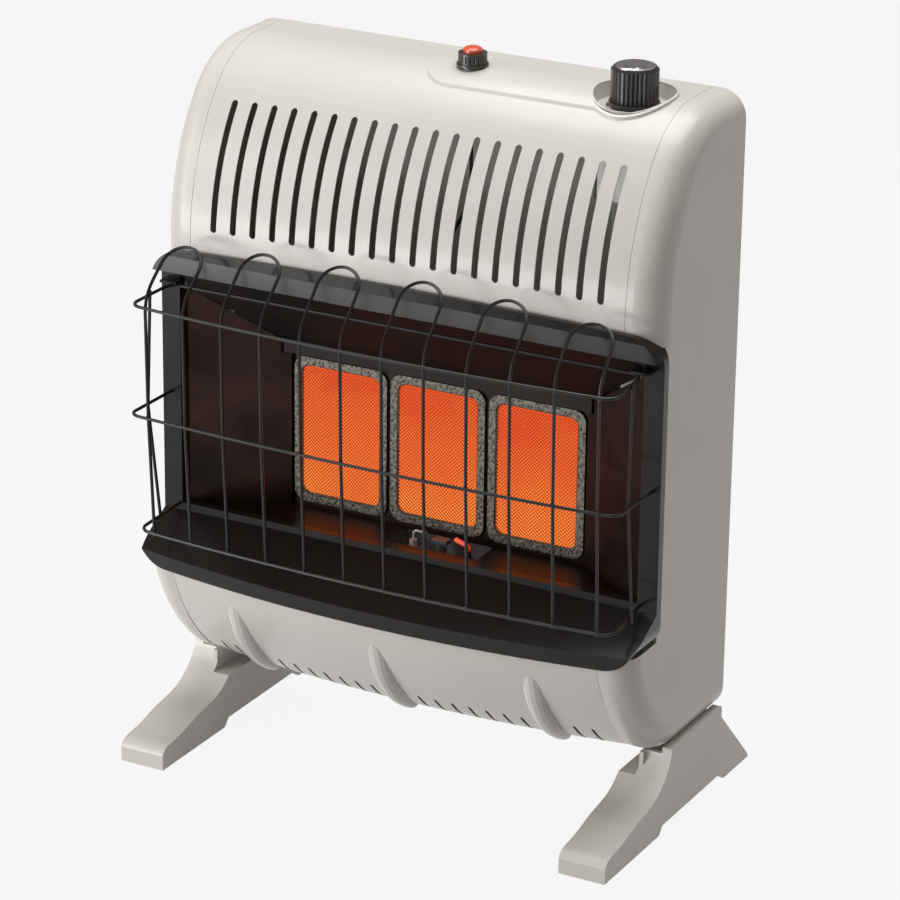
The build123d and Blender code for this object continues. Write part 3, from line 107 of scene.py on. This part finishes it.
# %% World and lamps
world = bpy.data.worlds.new("studio")
bpy.context.scene.world = world
world.use_nodes = True
sky = world.node_tree
sky.nodes.clear()
sky_out = sky.nodes.new("ShaderNodeOutputWorld")
fill_light = sky.nodes.new("ShaderNodeBackground")
fill_light.inputs["Color"].default_value = (1.0, 0.92, 0.85, 1)
fill_light.inputs["Strength"].default_value = 0.24
seen_white = sky.nodes.new("ShaderNodeBackground")
seen_white.inputs["Color"].default_value = (1, 1, 1, 1)
seen_white.inputs["Strength"].default_value = 1.0
sky_path = sky.nodes.new("ShaderNodeLightPath")
sky_mix = sky.nodes.new("ShaderNodeMixShader")
sky.links.new(sky_path.outputs["Is Camera Ray"], sky_mix.inputs["Fac"])
sky.links.new(fill_light.outputs[0], sky_mix.inputs[1])
sky.links.new(seen_white.outputs[0], sky_mix.inputs[2])
sky.links.new(sky_mix.outputs[0], sky_out.inputs["Surface"])


def area_lamp(name, place, target, size, watts, colour=(1, 1, 1)):
    """Square soft lamp at a place, facing a target point."""
    data = bpy.data.lights.new(name, "AREA")
    data.shape = "RECTANGLE"
    data.size, data.size_y = size
    data.energy = watts
    data.color = colour
    lamp = bpy.data.objects.new(name, data)
    lamp.location = place
    lamp.rotation_euler = (Vector(target) - Vector(place)).to_track_quat("-Z", "Y").to_euler()
    lamp.visible_camera = False
    bpy.context.scene.collection.objects.link(lamp)


area_lamp("key_lamp", (-2.3, -2.3, 1.3), (0, 0, 0.38), (1.8, 1.8), 38, (0.98, 0.99, 1.0))
area_lamp("top_lamp", (0.0, 0.3, 2.6), (0, 0, 0.6), (2.0, 1.6), 46)
area_lamp("low_lamp", (-1.3, -1.9, 0.22), (-0.05, 0, 0.2), (1.4, 0.4), 19, (1.0, 0.99, 0.97))

# %% [markdown]
# ## Materials
# Every finish starts from the same small helper: a Principled shader with a fine bump and a
# slow change of roughness, because no real surface is one flat value. The patterns read Object
# coordinates, which are the CAD frame itself, so they keep their real size on every piece.


# %% Material helpers
def new_material(name, colour, rough, metal=0.0, coat=0.0, coat_rough=0.05, specular=0.5):
    """Principled material and its node tree, ready for patterns."""
    material = bpy.data.materials.new(name)
    material.use_nodes = True
    shader = material.node_tree.nodes["Principled BSDF"]
    shader.inputs["Base Color"].default_value = (*colour, 1)
    shader.inputs["Roughness"].default_value = rough
    shader.inputs["Metallic"].default_value = metal
    shader.inputs["Coat Weight"].default_value = coat
    shader.inputs["Coat Roughness"].default_value = coat_rough
    shader.inputs["Specular IOR Level"].default_value = specular
    material.diffuse_color = (*colour, 1)
    return material, material.node_tree, shader


def object_point(tree, scale=(1, 1, 1)):
    """Object coordinates, stretched by scale."""
    source = tree.nodes.new("ShaderNodeTexCoord")
    stretch = tree.nodes.new("ShaderNodeMapping")
    stretch.inputs["Scale"].default_value = scale
    tree.links.new(source.outputs["Object"], stretch.inputs["Vector"])
    return stretch.outputs["Vector"]


def noise(tree, per_metre, detail=2.0, scale=(1, 1, 1)):
    """Noise pattern with a given number of blotches in a metre."""
    pattern = tree.nodes.new("ShaderNodeTexNoise")
    pattern.inputs["Scale"].default_value = per_metre
    pattern.inputs["Detail"].default_value = detail
    tree.links.new(object_point(tree, scale), pattern.inputs["Vector"])
    return pattern.outputs["Fac"]


def math_node(tree, operation, *values):
    """Math node in a shader or geometry tree; each value is a socket or a number."""
    node = tree.nodes.new("ShaderNodeMath")
    node.operation = operation
    for socket, value in zip(node.inputs, values):
        if hasattr(value, "is_linked"):
            tree.links.new(value, socket)
        else:
            socket.default_value = value
    return node.outputs[0]


def colour_by(tree, shader, socket, value, *stops):
    """Lets a colour socket follow a value, through stops of (position, colour)."""
    node = tree.nodes.new("ShaderNodeValToRGB")
    elements = node.color_ramp.elements
    for place, _ in stops[2:]:
        elements.new(place)
    in_order = sorted(elements, key=lambda element: element.position)
    for element, (place, colour) in zip(in_order, sorted(stops)):
        element.position = place
        element.color = (*colour, 1)
    tree.links.new(value, node.inputs["Fac"])
    tree.links.new(node.outputs["Color"], shader.inputs[socket])


def bump(tree, shader, height, depth, strength=1.0):
    """Bump of a given depth in metres from a height pattern."""
    node = tree.nodes.new("ShaderNodeBump")
    node.inputs["Distance"].default_value = depth
    node.inputs["Strength"].default_value = strength
    tree.links.new(height, node.inputs["Height"])
    tree.links.new(node.outputs["Normal"], shader.inputs["Normal"])


def vary(tree, shader, socket, value, low, high):
    """Lets a socket run between low and high with a pattern."""
    node = tree.nodes.new("ShaderNodeMapRange")
    node.inputs["To Min"].default_value = low
    node.inputs["To Max"].default_value = high
    tree.links.new(value, node.inputs["Value"])
    tree.links.new(node.outputs["Result"], shader.inputs[socket])


def dress(material, slot, *names):
    """Gives CAD nodes their finish."""
    for name in names:
        o = nodes[name]
        o.data.materials.clear()
        o.data.materials.append(material)


# %% [markdown]
# ### Baked paint
# The cabinet, its back, the control plate and the feet are warm off-white powder coat. Powder
# flows out almost flat and leaves a faint orange peel, with a soft, wide shine.

# %% Cabinet paint
case_paint, tree, shader = new_material("case_paint", (0.665, 0.64, 0.60), 0.34,
                                        coat=0.2, coat_rough=0.12)
colour_by(tree, shader, "Base Color", noise(tree, 9, 3),
          (0.3, (0.65, 0.625, 0.587)), (0.7, (0.68, 0.655, 0.615)))
vary(tree, shader, "Roughness", noise(tree, 40, 2), 0.30, 0.40)
bump(tree, shader, noise(tree, 420, 2), 0.00012, 0.35)
dress(case_paint, "case_paint", "right_side_panel", "left_side_panel", "front_cover", "back_panel",
      "control_plate", "right_foot", "left_foot")
print("painted pieces:", sum(1 for o in nodes.values() if case_paint.name in o.data.materials))

# %% [markdown]
# ### Black enamel
# The bezel round the firebox has a deep glossy black enamel. A clear coat over a near-black
# base gives its sharp highlights, and a slow waviness keeps the reflections from being perfect.
# The guard's wires have the same black, but duller.

# %% Black enamel
black_gloss, tree, shader = new_material("black_gloss", (0.014, 0.012, 0.011), 0.22,
                                         coat=0.1, coat_rough=0.06, specular=0.22)
vary(tree, shader, "Roughness", noise(tree, 30, 3), 0.16, 0.30)
bump(tree, shader, noise(tree, 60, 2), 0.0004, 0.12)
dress(black_gloss, "black_gloss", "bezel", "guard_clips")

guard_enamel, tree, shader = new_material("guard_enamel", (0.014, 0.013, 0.013), 0.34,
                                          specular=0.35)
bump(tree, shader, noise(tree, 300, 2), 0.00015, 0.4)
guard_wires = [n for n in nodes if n.startswith("guard_") and n != "guard_clips"]
dress(guard_enamel, "guard_wire", *guard_wires)

# %% [markdown]
# ### Sheet metal of the firebox
# The reflectors are polished steel that heat has turned brown, and soot has blackened the top
# one. Rolled steel has fine streaks along one way, so the noise behind the roughness is
# stretched along the width of the heater. The plaques' frames have a small crimped pattern.

# %% Firebox metals
heat_steel, tree, shader = new_material("heat_steel", (0.03, 0.018, 0.015), 0.36,
                                        metal=0.7, specular=0.3)
colour_by(tree, shader, "Base Color", noise(tree, 12, 4, (1, 1, 1.6)),
          (0.3, (0.016, 0.010, 0.009)), (0.75, (0.060, 0.028, 0.022)))
vary(tree, shader, "Roughness", noise(tree, 90, 3, (0.15, 1, 1)), 0.26, 0.48)
bump(tree, shader, noise(tree, 200, 2, (0.1, 1, 1)), 0.0002, 0.25)
dress(heat_steel, "reflector_steel", "lower_reflector", "right_reflector", "left_reflector")

soot_steel, tree, shader = new_material("soot_steel", (0.012, 0.009, 0.008), 0.5,
                                        metal=0.3, specular=0.25)
colour_by(tree, shader, "Base Color", noise(tree, 14, 4),
          (0.3, (0.007, 0.006, 0.006)), (0.7, (0.022, 0.015, 0.012)))
vary(tree, shader, "Roughness", noise(tree, 80, 3, (0.2, 1, 1)), 0.4, 0.62)
bump(tree, shader, noise(tree, 220, 2, (0.1, 1, 1)), 0.0002, 0.25)
dress(soot_steel, "reflector_steel", "top_reflector")
dress(soot_steel, "aluminised_steel", "burner_housing")

dull_steel, tree, shader = new_material("dull_steel", (0.30, 0.30, 0.31), 0.45, metal=0.9)
vary(tree, shader, "Roughness", noise(tree, 70, 4), 0.38, 0.58)
bump(tree, shader, noise(tree, 240, 3), 0.0002, 0.3)
dress(dull_steel, "aluminised_steel", "mixer_tube", "pilot_bracket", "valve_bracket")

frame_steel, tree, shader = new_material("frame_steel", (0.16, 0.15, 0.14), 0.5, metal=0.8)
folds = tree.nodes.new("ShaderNodeTexVoronoi")
folds.inputs["Scale"].default_value = 420
tree.links.new(object_point(tree, (1, 1, 0.6)), folds.inputs["Vector"])
colour_by(tree, shader, "Base Color", folds.outputs["Distance"],
          (0.1, (0.022, 0.02, 0.017)), (0.6, (0.17, 0.16, 0.135)))
bump(tree, shader, folds.outputs["Distance"], 0.0006, 0.8)
dress(frame_steel, "frame_steel", "plaque_frame_left", "plaque_frame_middle", "plaque_frame_right")

# %% [markdown]
# ### Fittings
# The screws and springs are zinc plated, and the small turned pieces are brass. The valve, the
# regulator and the gas tubes are aluminium with a faint cast grain.

# %% Zinc, brass and aluminium
zinc, tree, shader = new_material("zinc", (0.55, 0.56, 0.58), 0.32, metal=1.0)
bump(tree, shader, noise(tree, 500, 2), 0.0001, 0.4)
dress(zinc, "zinc", "casing_screws", "knob_spring", "igniter_spring")

brass, tree, shader = new_material("brass", (0.62, 0.43, 0.17), 0.3, metal=1.0)
vary(tree, shader, "Roughness", noise(tree, 120, 3), 0.22, 0.42)
dress(brass, "brass", "orifice_holder", "valve_stem", "thrust_collar")

aluminium, tree, shader = new_material("aluminium", (0.6, 0.6, 0.61), 0.38, metal=1.0)
vary(tree, shader, "Roughness", noise(tree, 150, 4), 0.3, 0.5)
bump(tree, shader, noise(tree, 350, 3), 0.0002, 0.3)
dress(aluminium, "valve_aluminium", "gas_valve", "pressure_regulator")
dress(aluminium, "aluminium_tube", "supply_tube", "burner_tube", "pilot_tube")
dress(dull_steel, "pilot_steel", "pilot_burner")

# %% [markdown]
# ### The probe's painted glow
# The thermocouple's tip sits in the pilot flame, which is not modelled. Its red glow is painted:
# an emission that stands in for the flame's light, rising from the middle of the probe to its top,
# read from the node's own box.

# %% Thermocouple
probe_low, probe_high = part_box("thermocouple")
probe_steel, tree, shader = new_material("probe_steel", (0.28, 0.20, 0.15), 0.35, metal=0.9)
place = tree.nodes.new("ShaderNodeSeparateXYZ")
tree.links.new(object_point(tree), place.inputs["Vector"])
painted_glow_rise = tree.nodes.new("ShaderNodeMapRange")
painted_glow_rise.inputs["From Min"].default_value = (probe_low.z + probe_high.z) / 2
painted_glow_rise.inputs["From Max"].default_value = probe_high.z
tree.links.new(place.outputs["Z"], painted_glow_rise.inputs["Value"])
# Painted glow: a red emission on the probe's upper half that stands in for the pilot flame's
# light.
colour_by(tree, shader, "Emission Color", painted_glow_rise.outputs["Result"],
          (0.0, (0.0, 0.0, 0.0)), (0.5, (0.55, 0.02, 0.01)), (1.0, (1.0, 0.10, 0.05)))
shader.inputs["Emission Strength"].default_value = 0.9
vary(tree, shader, "Roughness", noise(tree, 300, 2), 0.28, 0.45)
dress(probe_steel, "brass", "thermocouple")
print("probe", [round(v, 4) for v in probe_high - probe_low])

# %% [markdown]
# ### Moulded and small pieces
# The knob, the igniter's collar and its body are black phenolic, the button is red-orange and
# the knob's cap is bright metal. The spark lead wears a black sleeve, and the electrode stands
# in glazed ceramic.

# %% Moulded and small pieces
black_plastic, tree, shader = new_material("black_plastic", (0.03, 0.027, 0.027), 0.32,
                                           coat=0.2, coat_rough=0.1)
vary(tree, shader, "Roughness", noise(tree, 180, 3), 0.26, 0.42)
bump(tree, shader, noise(tree, 700, 2), 0.00008, 0.5)
dress(black_plastic, "knob_plastic", "control_knob", "igniter_collar", "piezo_body")

button_red, tree, shader = new_material("button_red", (0.72, 0.10, 0.035), 0.3, coat=0.3)
bump(tree, shader, noise(tree, 500, 2), 0.00008, 0.5)
dress(button_red, "button_red", "igniter_button")

knob_trim, tree, shader = new_material("knob_trim", (0.62, 0.62, 0.66), 0.16, metal=1.0)
vary(tree, shader, "Roughness", noise(tree, 200, 3), 0.10, 0.24)
dress(knob_trim, "knob_trim", "knob_cap")

sleeve, tree, shader = new_material("sleeve", (0.03, 0.03, 0.03), 0.6)
bump(tree, shader, noise(tree, 900, 2), 0.0001, 0.6)
dress(sleeve, "lead_rubber", "ignition_lead")

glazed, tree, shader = new_material("glazed", (0.78, 0.75, 0.70), 0.18, coat=0.5)
colour_by(tree, shader, "Base Color", noise(tree, 200, 3),
          (0.35, (0.6, 0.55, 0.5)), (0.6, (0.8, 0.77, 0.72)))
dress(glazed, "electrode_ceramic", "spark_electrode")

# %% [markdown]
# ### Glowing ceramic
# A plaque burns gas at hundreds of fine holes, and its face glows: a bright orange low down, a
# deeper red towards the top. The glow is an emission whose colour follows the height, broken
# up by noise. The holes are too fine to show at this size, and are left out.

# %% Plaques
PLAQUES = ("plaque_left", "plaque_middle", "plaque_right")
plaque_low, plaque_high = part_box("plaque_middle")
HEIGHT_SHARE, NOISE_SHARE = 0.62, 0.66  # how far each moves the colour along its stops

glow, tree, shader = new_material("glowing_ceramic", (0.55, 0.12, 0.03), 0.8)
where = tree.nodes.new("ShaderNodeSeparateXYZ")
tree.links.new(object_point(tree), where.inputs["Vector"])
rise = tree.nodes.new("ShaderNodeMapRange")
rise.inputs["From Min"].default_value = plaque_low.z
rise.inputs["From Max"].default_value = plaque_high.z
rise.inputs["To Max"].default_value = HEIGHT_SHARE
tree.links.new(where.outputs["Z"], rise.inputs["Value"])
patchy = math_node(tree, "MULTIPLY_ADD", noise(tree, 16, 1), NOISE_SHARE, rise.outputs["Result"])
colour_by(tree, shader, "Emission Color", patchy,
          (0.28, (1.0, 0.30, 0.05)), (0.6, (1.0, 0.185, 0.03)), (0.95, (0.84, 0.085, 0.02)))
shader.inputs["Emission Strength"].default_value = 1.0
dress(glow, "ceramic_plaque", *PLAQUES)
print("plaque height", round(plaque_high.z - plaque_low.z, 4))

# %% [markdown]
# ### Floor
# A plain pale floor. The camera and the glossy pieces see it as mostly white, but it still
# takes a soft shadow.

# %% Floor
FLOOR_HALF = 6.0
WHITE_SHARE = 0.9
floor_mesh = bpy.data.meshes.new("floor")
corners = [(FLOOR_HALF * x, FLOOR_HALF * y, 0) for x, y in ((-1, -1), (1, -1), (1, 1), (-1, 1))]
floor_mesh.from_pydata(corners, [], [(0, 1, 2, 3)])
floor = bpy.data.objects.new("floor", floor_mesh)
bpy.context.scene.collection.objects.link(floor)
floor_paper, tree, shader = new_material("floor_paper", (0.34, 0.34, 0.34), 0.9)
bright = tree.nodes.new("ShaderNodeEmission")
bright.inputs["Color"].default_value = (1, 1, 1, 1)
path = tree.nodes.new("ShaderNodeLightPath")
seen = math_node(tree, "MAXIMUM", path.outputs["Is Camera Ray"], path.outputs["Is Glossy Ray"])
mixed = tree.nodes.new("ShaderNodeMixShader")
tree.links.new(math_node(tree, "MULTIPLY", seen, WHITE_SHARE), mixed.inputs["Fac"])
tree.links.new(shader.outputs[0], mixed.inputs[1])
tree.links.new(bright.outputs[0], mixed.inputs[2])
tree.links.new(mixed.outputs[0], tree.nodes["Material Output"].inputs["Surface"])
floor_mesh.materials.append(floor_paper)
floor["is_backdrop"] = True
print("floor", 2 * FLOOR_HALF, "m wide")

# %% [markdown]
# ## Pieces that repeat
# These are grown by Geometry Nodes trees with named inputs. Each tree ends in real geometry with
# its material, and what it makes is kept as a plain mesh.


# %% Tree helpers
def node_group(name, inputs):
    """Geometry node group with named inputs, as (name, socket type, default)."""
    group = bpy.data.node_groups.new(name, "GeometryNodeTree")
    group.interface.new_socket("Geometry", in_out="INPUT", socket_type="NodeSocketGeometry")
    for label, kind, default in inputs:
        socket = group.interface.new_socket(label, in_out="INPUT", socket_type=kind)
        socket.default_value = default
    group.interface.new_socket("Geometry", in_out="OUTPUT", socket_type="NodeSocketGeometry")
    start = group.nodes.new("NodeGroupInput")
    end = group.nodes.new("NodeGroupOutput")
    return group, start, end


def finish_tree(group, geometry, end, material):
    """Ends a tree in real geometry with its material."""
    real = group.nodes.new("GeometryNodeRealizeInstances")
    paint = group.nodes.new("GeometryNodeSetMaterial")
    paint.inputs["Material"].default_value = material
    group.links.new(geometry, real.inputs["Geometry"])
    group.links.new(real.outputs["Geometry"], paint.inputs["Geometry"])
    group.links.new(paint.outputs["Geometry"], end.inputs["Geometry"])


def run_tree(name, group, values, seed_mesh=None):
    """Runs a node group on an object and returns its result as a plain mesh object."""
    mesh = seed_mesh or bpy.data.meshes.new(name + "_seed")
    carrier = bpy.data.objects.new(name + "_seed", mesh)
    bpy.context.scene.collection.objects.link(carrier)
    modifier = carrier.modifiers.new("nodes", "NODES")
    modifier.node_group = group
    for item in group.interface.items_tree:
        if item.item_type == "SOCKET" and item.in_out == "INPUT" and item.name in values:
            modifier[item.identifier] = values[item.name]
    evaluated = carrier.evaluated_get(bpy.context.evaluated_depsgraph_get())
    result = bpy.data.meshes.new_from_object(evaluated)
    result.name = name
    made = bpy.data.objects.new(name, result)
    bpy.context.scene.collection.objects.link(made)
    bpy.data.objects.remove(carrier)
    return made


# %% [markdown]
# ## Diamond screens
# A screen of expanded steel stands in front of each plaque and turns the glow into small
# diamonds. Expanded metal is one cell repeated, so a grid of points carries one crossed pair
# of strands. The tree's inputs are the screen's size, its number of cells and the strand's
# thickness.

# %% Screen tree
SCREEN_COLUMNS, SCREEN_ROWS, STRAND = 22, 35, 0.0006
STRAND_GAP = 0.0002  # the two strands of a pair lie this far before and behind the screen's middle

screen_steel, tree, shader = new_material("screen_steel", (0.08, 0.022, 0.01), 0.6,
                                          metal=0.6, specular=0.3)
shader.inputs["Emission Color"].default_value = (0.9, 0.10, 0.015, 1)
shader.inputs["Emission Strength"].default_value = 0.3
bump(tree, shader, noise(tree, 800, 2), 0.0001, 0.5)

screen_group, start, end = node_group("diamond_screen", [
    ("Width", "NodeSocketFloat", 0.084), ("Height", "NodeSocketFloat", 0.13),
    ("Columns", "NodeSocketInt", SCREEN_COLUMNS), ("Rows", "NodeSocketInt", SCREEN_ROWS),
    ("Strand", "NodeSocketFloat", STRAND)])
grid = screen_group.nodes.new("GeometryNodeMeshGrid")
for ours, theirs in (("Width", "Size X"), ("Height", "Size Y"),
                     ("Columns", "Vertices X"), ("Rows", "Vertices Y")):
    screen_group.links.new(start.outputs[ours], grid.inputs[theirs])
cell_w = math_node(screen_group, "DIVIDE", start.outputs["Width"],
                   math_node(screen_group, "SUBTRACT", start.outputs["Columns"], 1))
cell_h = math_node(screen_group, "DIVIDE", start.outputs["Height"],
                   math_node(screen_group, "SUBTRACT", start.outputs["Rows"], 1))
diagonal = math_node(screen_group, "SQRT", math_node(
    screen_group, "ADD", math_node(screen_group, "MULTIPLY", cell_w, cell_w),
    math_node(screen_group, "MULTIPLY", cell_h, cell_h)))
slant = math_node(screen_group, "ARCTAN2", cell_h, cell_w)
strand_size = screen_group.nodes.new("ShaderNodeCombineXYZ")
screen_group.links.new(diagonal, strand_size.inputs["X"])
screen_group.links.new(start.outputs["Strand"], strand_size.inputs["Y"])
screen_group.links.new(start.outputs["Strand"], strand_size.inputs["Z"])
strand = screen_group.nodes.new("GeometryNodeMeshCube")
screen_group.links.new(strand_size.outputs[0], strand.inputs["Size"])
both = screen_group.nodes.new("GeometryNodeJoinGeometry")
for sign in (1, -1):
    turn = screen_group.nodes.new("GeometryNodeTransform")
    angle = screen_group.nodes.new("ShaderNodeCombineXYZ")
    screen_group.links.new(math_node(screen_group, "MULTIPLY", slant, sign), angle.inputs["Z"])
    screen_group.links.new(angle.outputs[0], turn.inputs["Rotation"])
    turn.inputs["Translation"].default_value = (0, 0, sign * STRAND_GAP)
    screen_group.links.new(strand.outputs["Mesh"], turn.inputs["Geometry"])
    screen_group.links.new(turn.outputs["Geometry"], both.inputs["Geometry"])
spread = screen_group.nodes.new("GeometryNodeInstanceOnPoints")
screen_group.links.new(grid.outputs["Mesh"], spread.inputs["Points"])
screen_group.links.new(both.outputs["Geometry"], spread.inputs["Instance"])
finish_tree(screen_group, spread.outputs["Instances"], end, screen_steel)
print("screen tree has", len(screen_group.nodes), "nodes")

# %% Screens in front of the plaques
frame_low, frame_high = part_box("plaque_frame_middle")
print("plaque frame", [round(v, 4) for v in frame_high - frame_low])

# The grid of cells is this much smaller than the frame's box, in width and in height
GRID_LESS_WIDE, GRID_LESS_HIGH = 0.0202, 0.023
SCREEN_FORWARD = 0.0016  # from the frame's back edge to the middle of the screen

for column in ("left", "middle", "right"):
    low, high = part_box("plaque_frame_" + column)
    screen = run_tree("screen_" + column, screen_group, {
        "Width": high.x - low.x - GRID_LESS_WIDE, "Height": high.z - low.z - GRID_LESS_HIGH,
        "Columns": SCREEN_COLUMNS, "Rows": SCREEN_ROWS, "Strand": STRAND})
    middle = (low + high) / 2
    place = Matrix.Translation((middle.x, high.y - SCREEN_FORWARD, middle.z))
    screen.data.transform(place @ Matrix.Rotation(math.pi / 2, 4, "X"))
    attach(screen, "heater")
    print(screen.name, len(screen.data.polygons), "faces")

# %% [markdown]
# ## Coil springs
# Two coil springs work inside: one lifts the knob's thrust collar, one the igniter's button. The
# CAD has plain sleeves in their places, and a spiral swept with a round wire replaces each.

# %% Spring tree
WIRE_RADIUS = 0.0004

spring_wire, tree, shader = new_material("spring_wire", (0.52, 0.53, 0.56), 0.28, metal=1.0)
vary(tree, shader, "Roughness", noise(tree, 900, 2), 0.2, 0.38)

coil_group, start, end = node_group("coil_spring", [
    ("Turns", "NodeSocketFloat", 4.0), ("Radius", "NodeSocketFloat", 0.006),
    ("Wire", "NodeSocketFloat", WIRE_RADIUS), ("Height", "NodeSocketFloat", 0.006)])
spiral = coil_group.nodes.new("GeometryNodeCurveSpiral")
spiral.inputs["Resolution"].default_value = 28
for ours, theirs in (("Turns", "Rotations"), ("Radius", "Start Radius"),
                     ("Radius", "End Radius"), ("Height", "Height")):
    coil_group.links.new(start.outputs[ours], spiral.inputs[theirs])
section = coil_group.nodes.new("GeometryNodeCurvePrimitiveCircle")
section.inputs["Resolution"].default_value = 10
coil_group.links.new(start.outputs["Wire"], section.inputs["Radius"])
swept = coil_group.nodes.new("GeometryNodeCurveToMesh")
swept.inputs["Fill Caps"].default_value = True
coil_group.links.new(spiral.outputs["Curve"], swept.inputs["Curve"])
coil_group.links.new(section.outputs["Curve"], swept.inputs["Profile Curve"])
finish_tree(coil_group, swept.outputs["Mesh"], end, spring_wire)

# %% Springs
# CAD sleeve, joint, the joint's travel and the number of turns
SPRINGS = (("knob_spring", "knob_push", 0.004, 3.0),
           ("igniter_spring", "igniter_press", 0.006, 5.0))

for node_name, joint, travel, turns in SPRINGS:
    low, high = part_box(node_name)
    span = high.z - low.z
    wire = min(WIRE_RADIUS, span / 12)
    coil = run_tree("coil_" + node_name, coil_group, {
        "Turns": turns, "Radius": (high.x - low.x) / 2 - wire, "Wire": wire,
        "Height": span - 2 * wire})
    foot = ((low.x + high.x) / 2, (low.y + high.y) / 2, low.z + wire)
    coil.data.transform(Matrix.Translation(foot))
    coil.data.shade_smooth()
    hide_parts(node_name)
    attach(coil, "heater")
    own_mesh(coil)
    print(coil.name, "span", round(span * 1000, 2), "mm", len(coil.data.polygons), "faces")

# %% [markdown]
# ## Weld beads
# Each leg of the guard is spot welded where it crosses a run of wire, and the enamel pools there
# into a small bead. The crossings are found on the meshes themselves, by going back and forth
# between a leg and a run until the nearest points settle.


# %% Beads
ROUNDS = 12
TOUCHING = 0.002  # the nearest points of a leg and a run that cross are closer than this
BEAD_RADIUS, BEAD_SHAPE = 0.0017, (1.15, 0.8, 1.0)


def surface_of(name):
    """Search tree over a node's surface."""
    mesh = nodes[name].data
    return BVHTree.FromPolygons([v.co for v in mesh.vertices], [p.vertices for p in mesh.polygons])


runs = {name: surface_of(name) for name in ("guard_hoop", "guard_rail_middle", "guard_rail_lower")}
crossings = []
for name in [n for n in nodes if n.startswith("guard_hairpin_")]:
    leg_surface = surface_of(name)
    low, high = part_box(name)
    for run_name, run_surface in runs.items():
        run_low, run_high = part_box(run_name)
        for x in (low.x, high.x):
            spot = Vector((x, run_low.y, (run_low.z + run_high.z) / 2))
            for _ in range(ROUNDS):
                on_leg = leg_surface.find_nearest(spot)[0]
                spot = run_surface.find_nearest(on_leg)[0]
            if (on_leg - spot).length < TOUCHING:
                crossings.append((on_leg + spot) / 2)
seed = bpy.data.meshes.new("crossings")
seed.from_pydata(crossings, [], [])

bead_group, start, end = node_group("weld_beads", [("Size", "NodeSocketFloat", BEAD_RADIUS)])
ball = bead_group.nodes.new("GeometryNodeMeshIcoSphere")
ball.inputs["Subdivisions"].default_value = 2
bead_group.links.new(start.outputs["Size"], ball.inputs["Radius"])
place_beads = bead_group.nodes.new("GeometryNodeInstanceOnPoints")
place_beads.inputs["Scale"].default_value = BEAD_SHAPE
bead_group.links.new(start.outputs["Geometry"], place_beads.inputs["Points"])
bead_group.links.new(ball.outputs["Mesh"], place_beads.inputs["Instance"])
finish_tree(bead_group, place_beads.outputs["Instances"], end, guard_enamel)
beads = run_tree("guard_welds", bead_group, {"Size": BEAD_RADIUS}, seed)
beads.data.shade_smooth()
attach(beads, "heater")
print(len(crossings), "weld beads")

# %% Sizes, and the end
low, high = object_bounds()
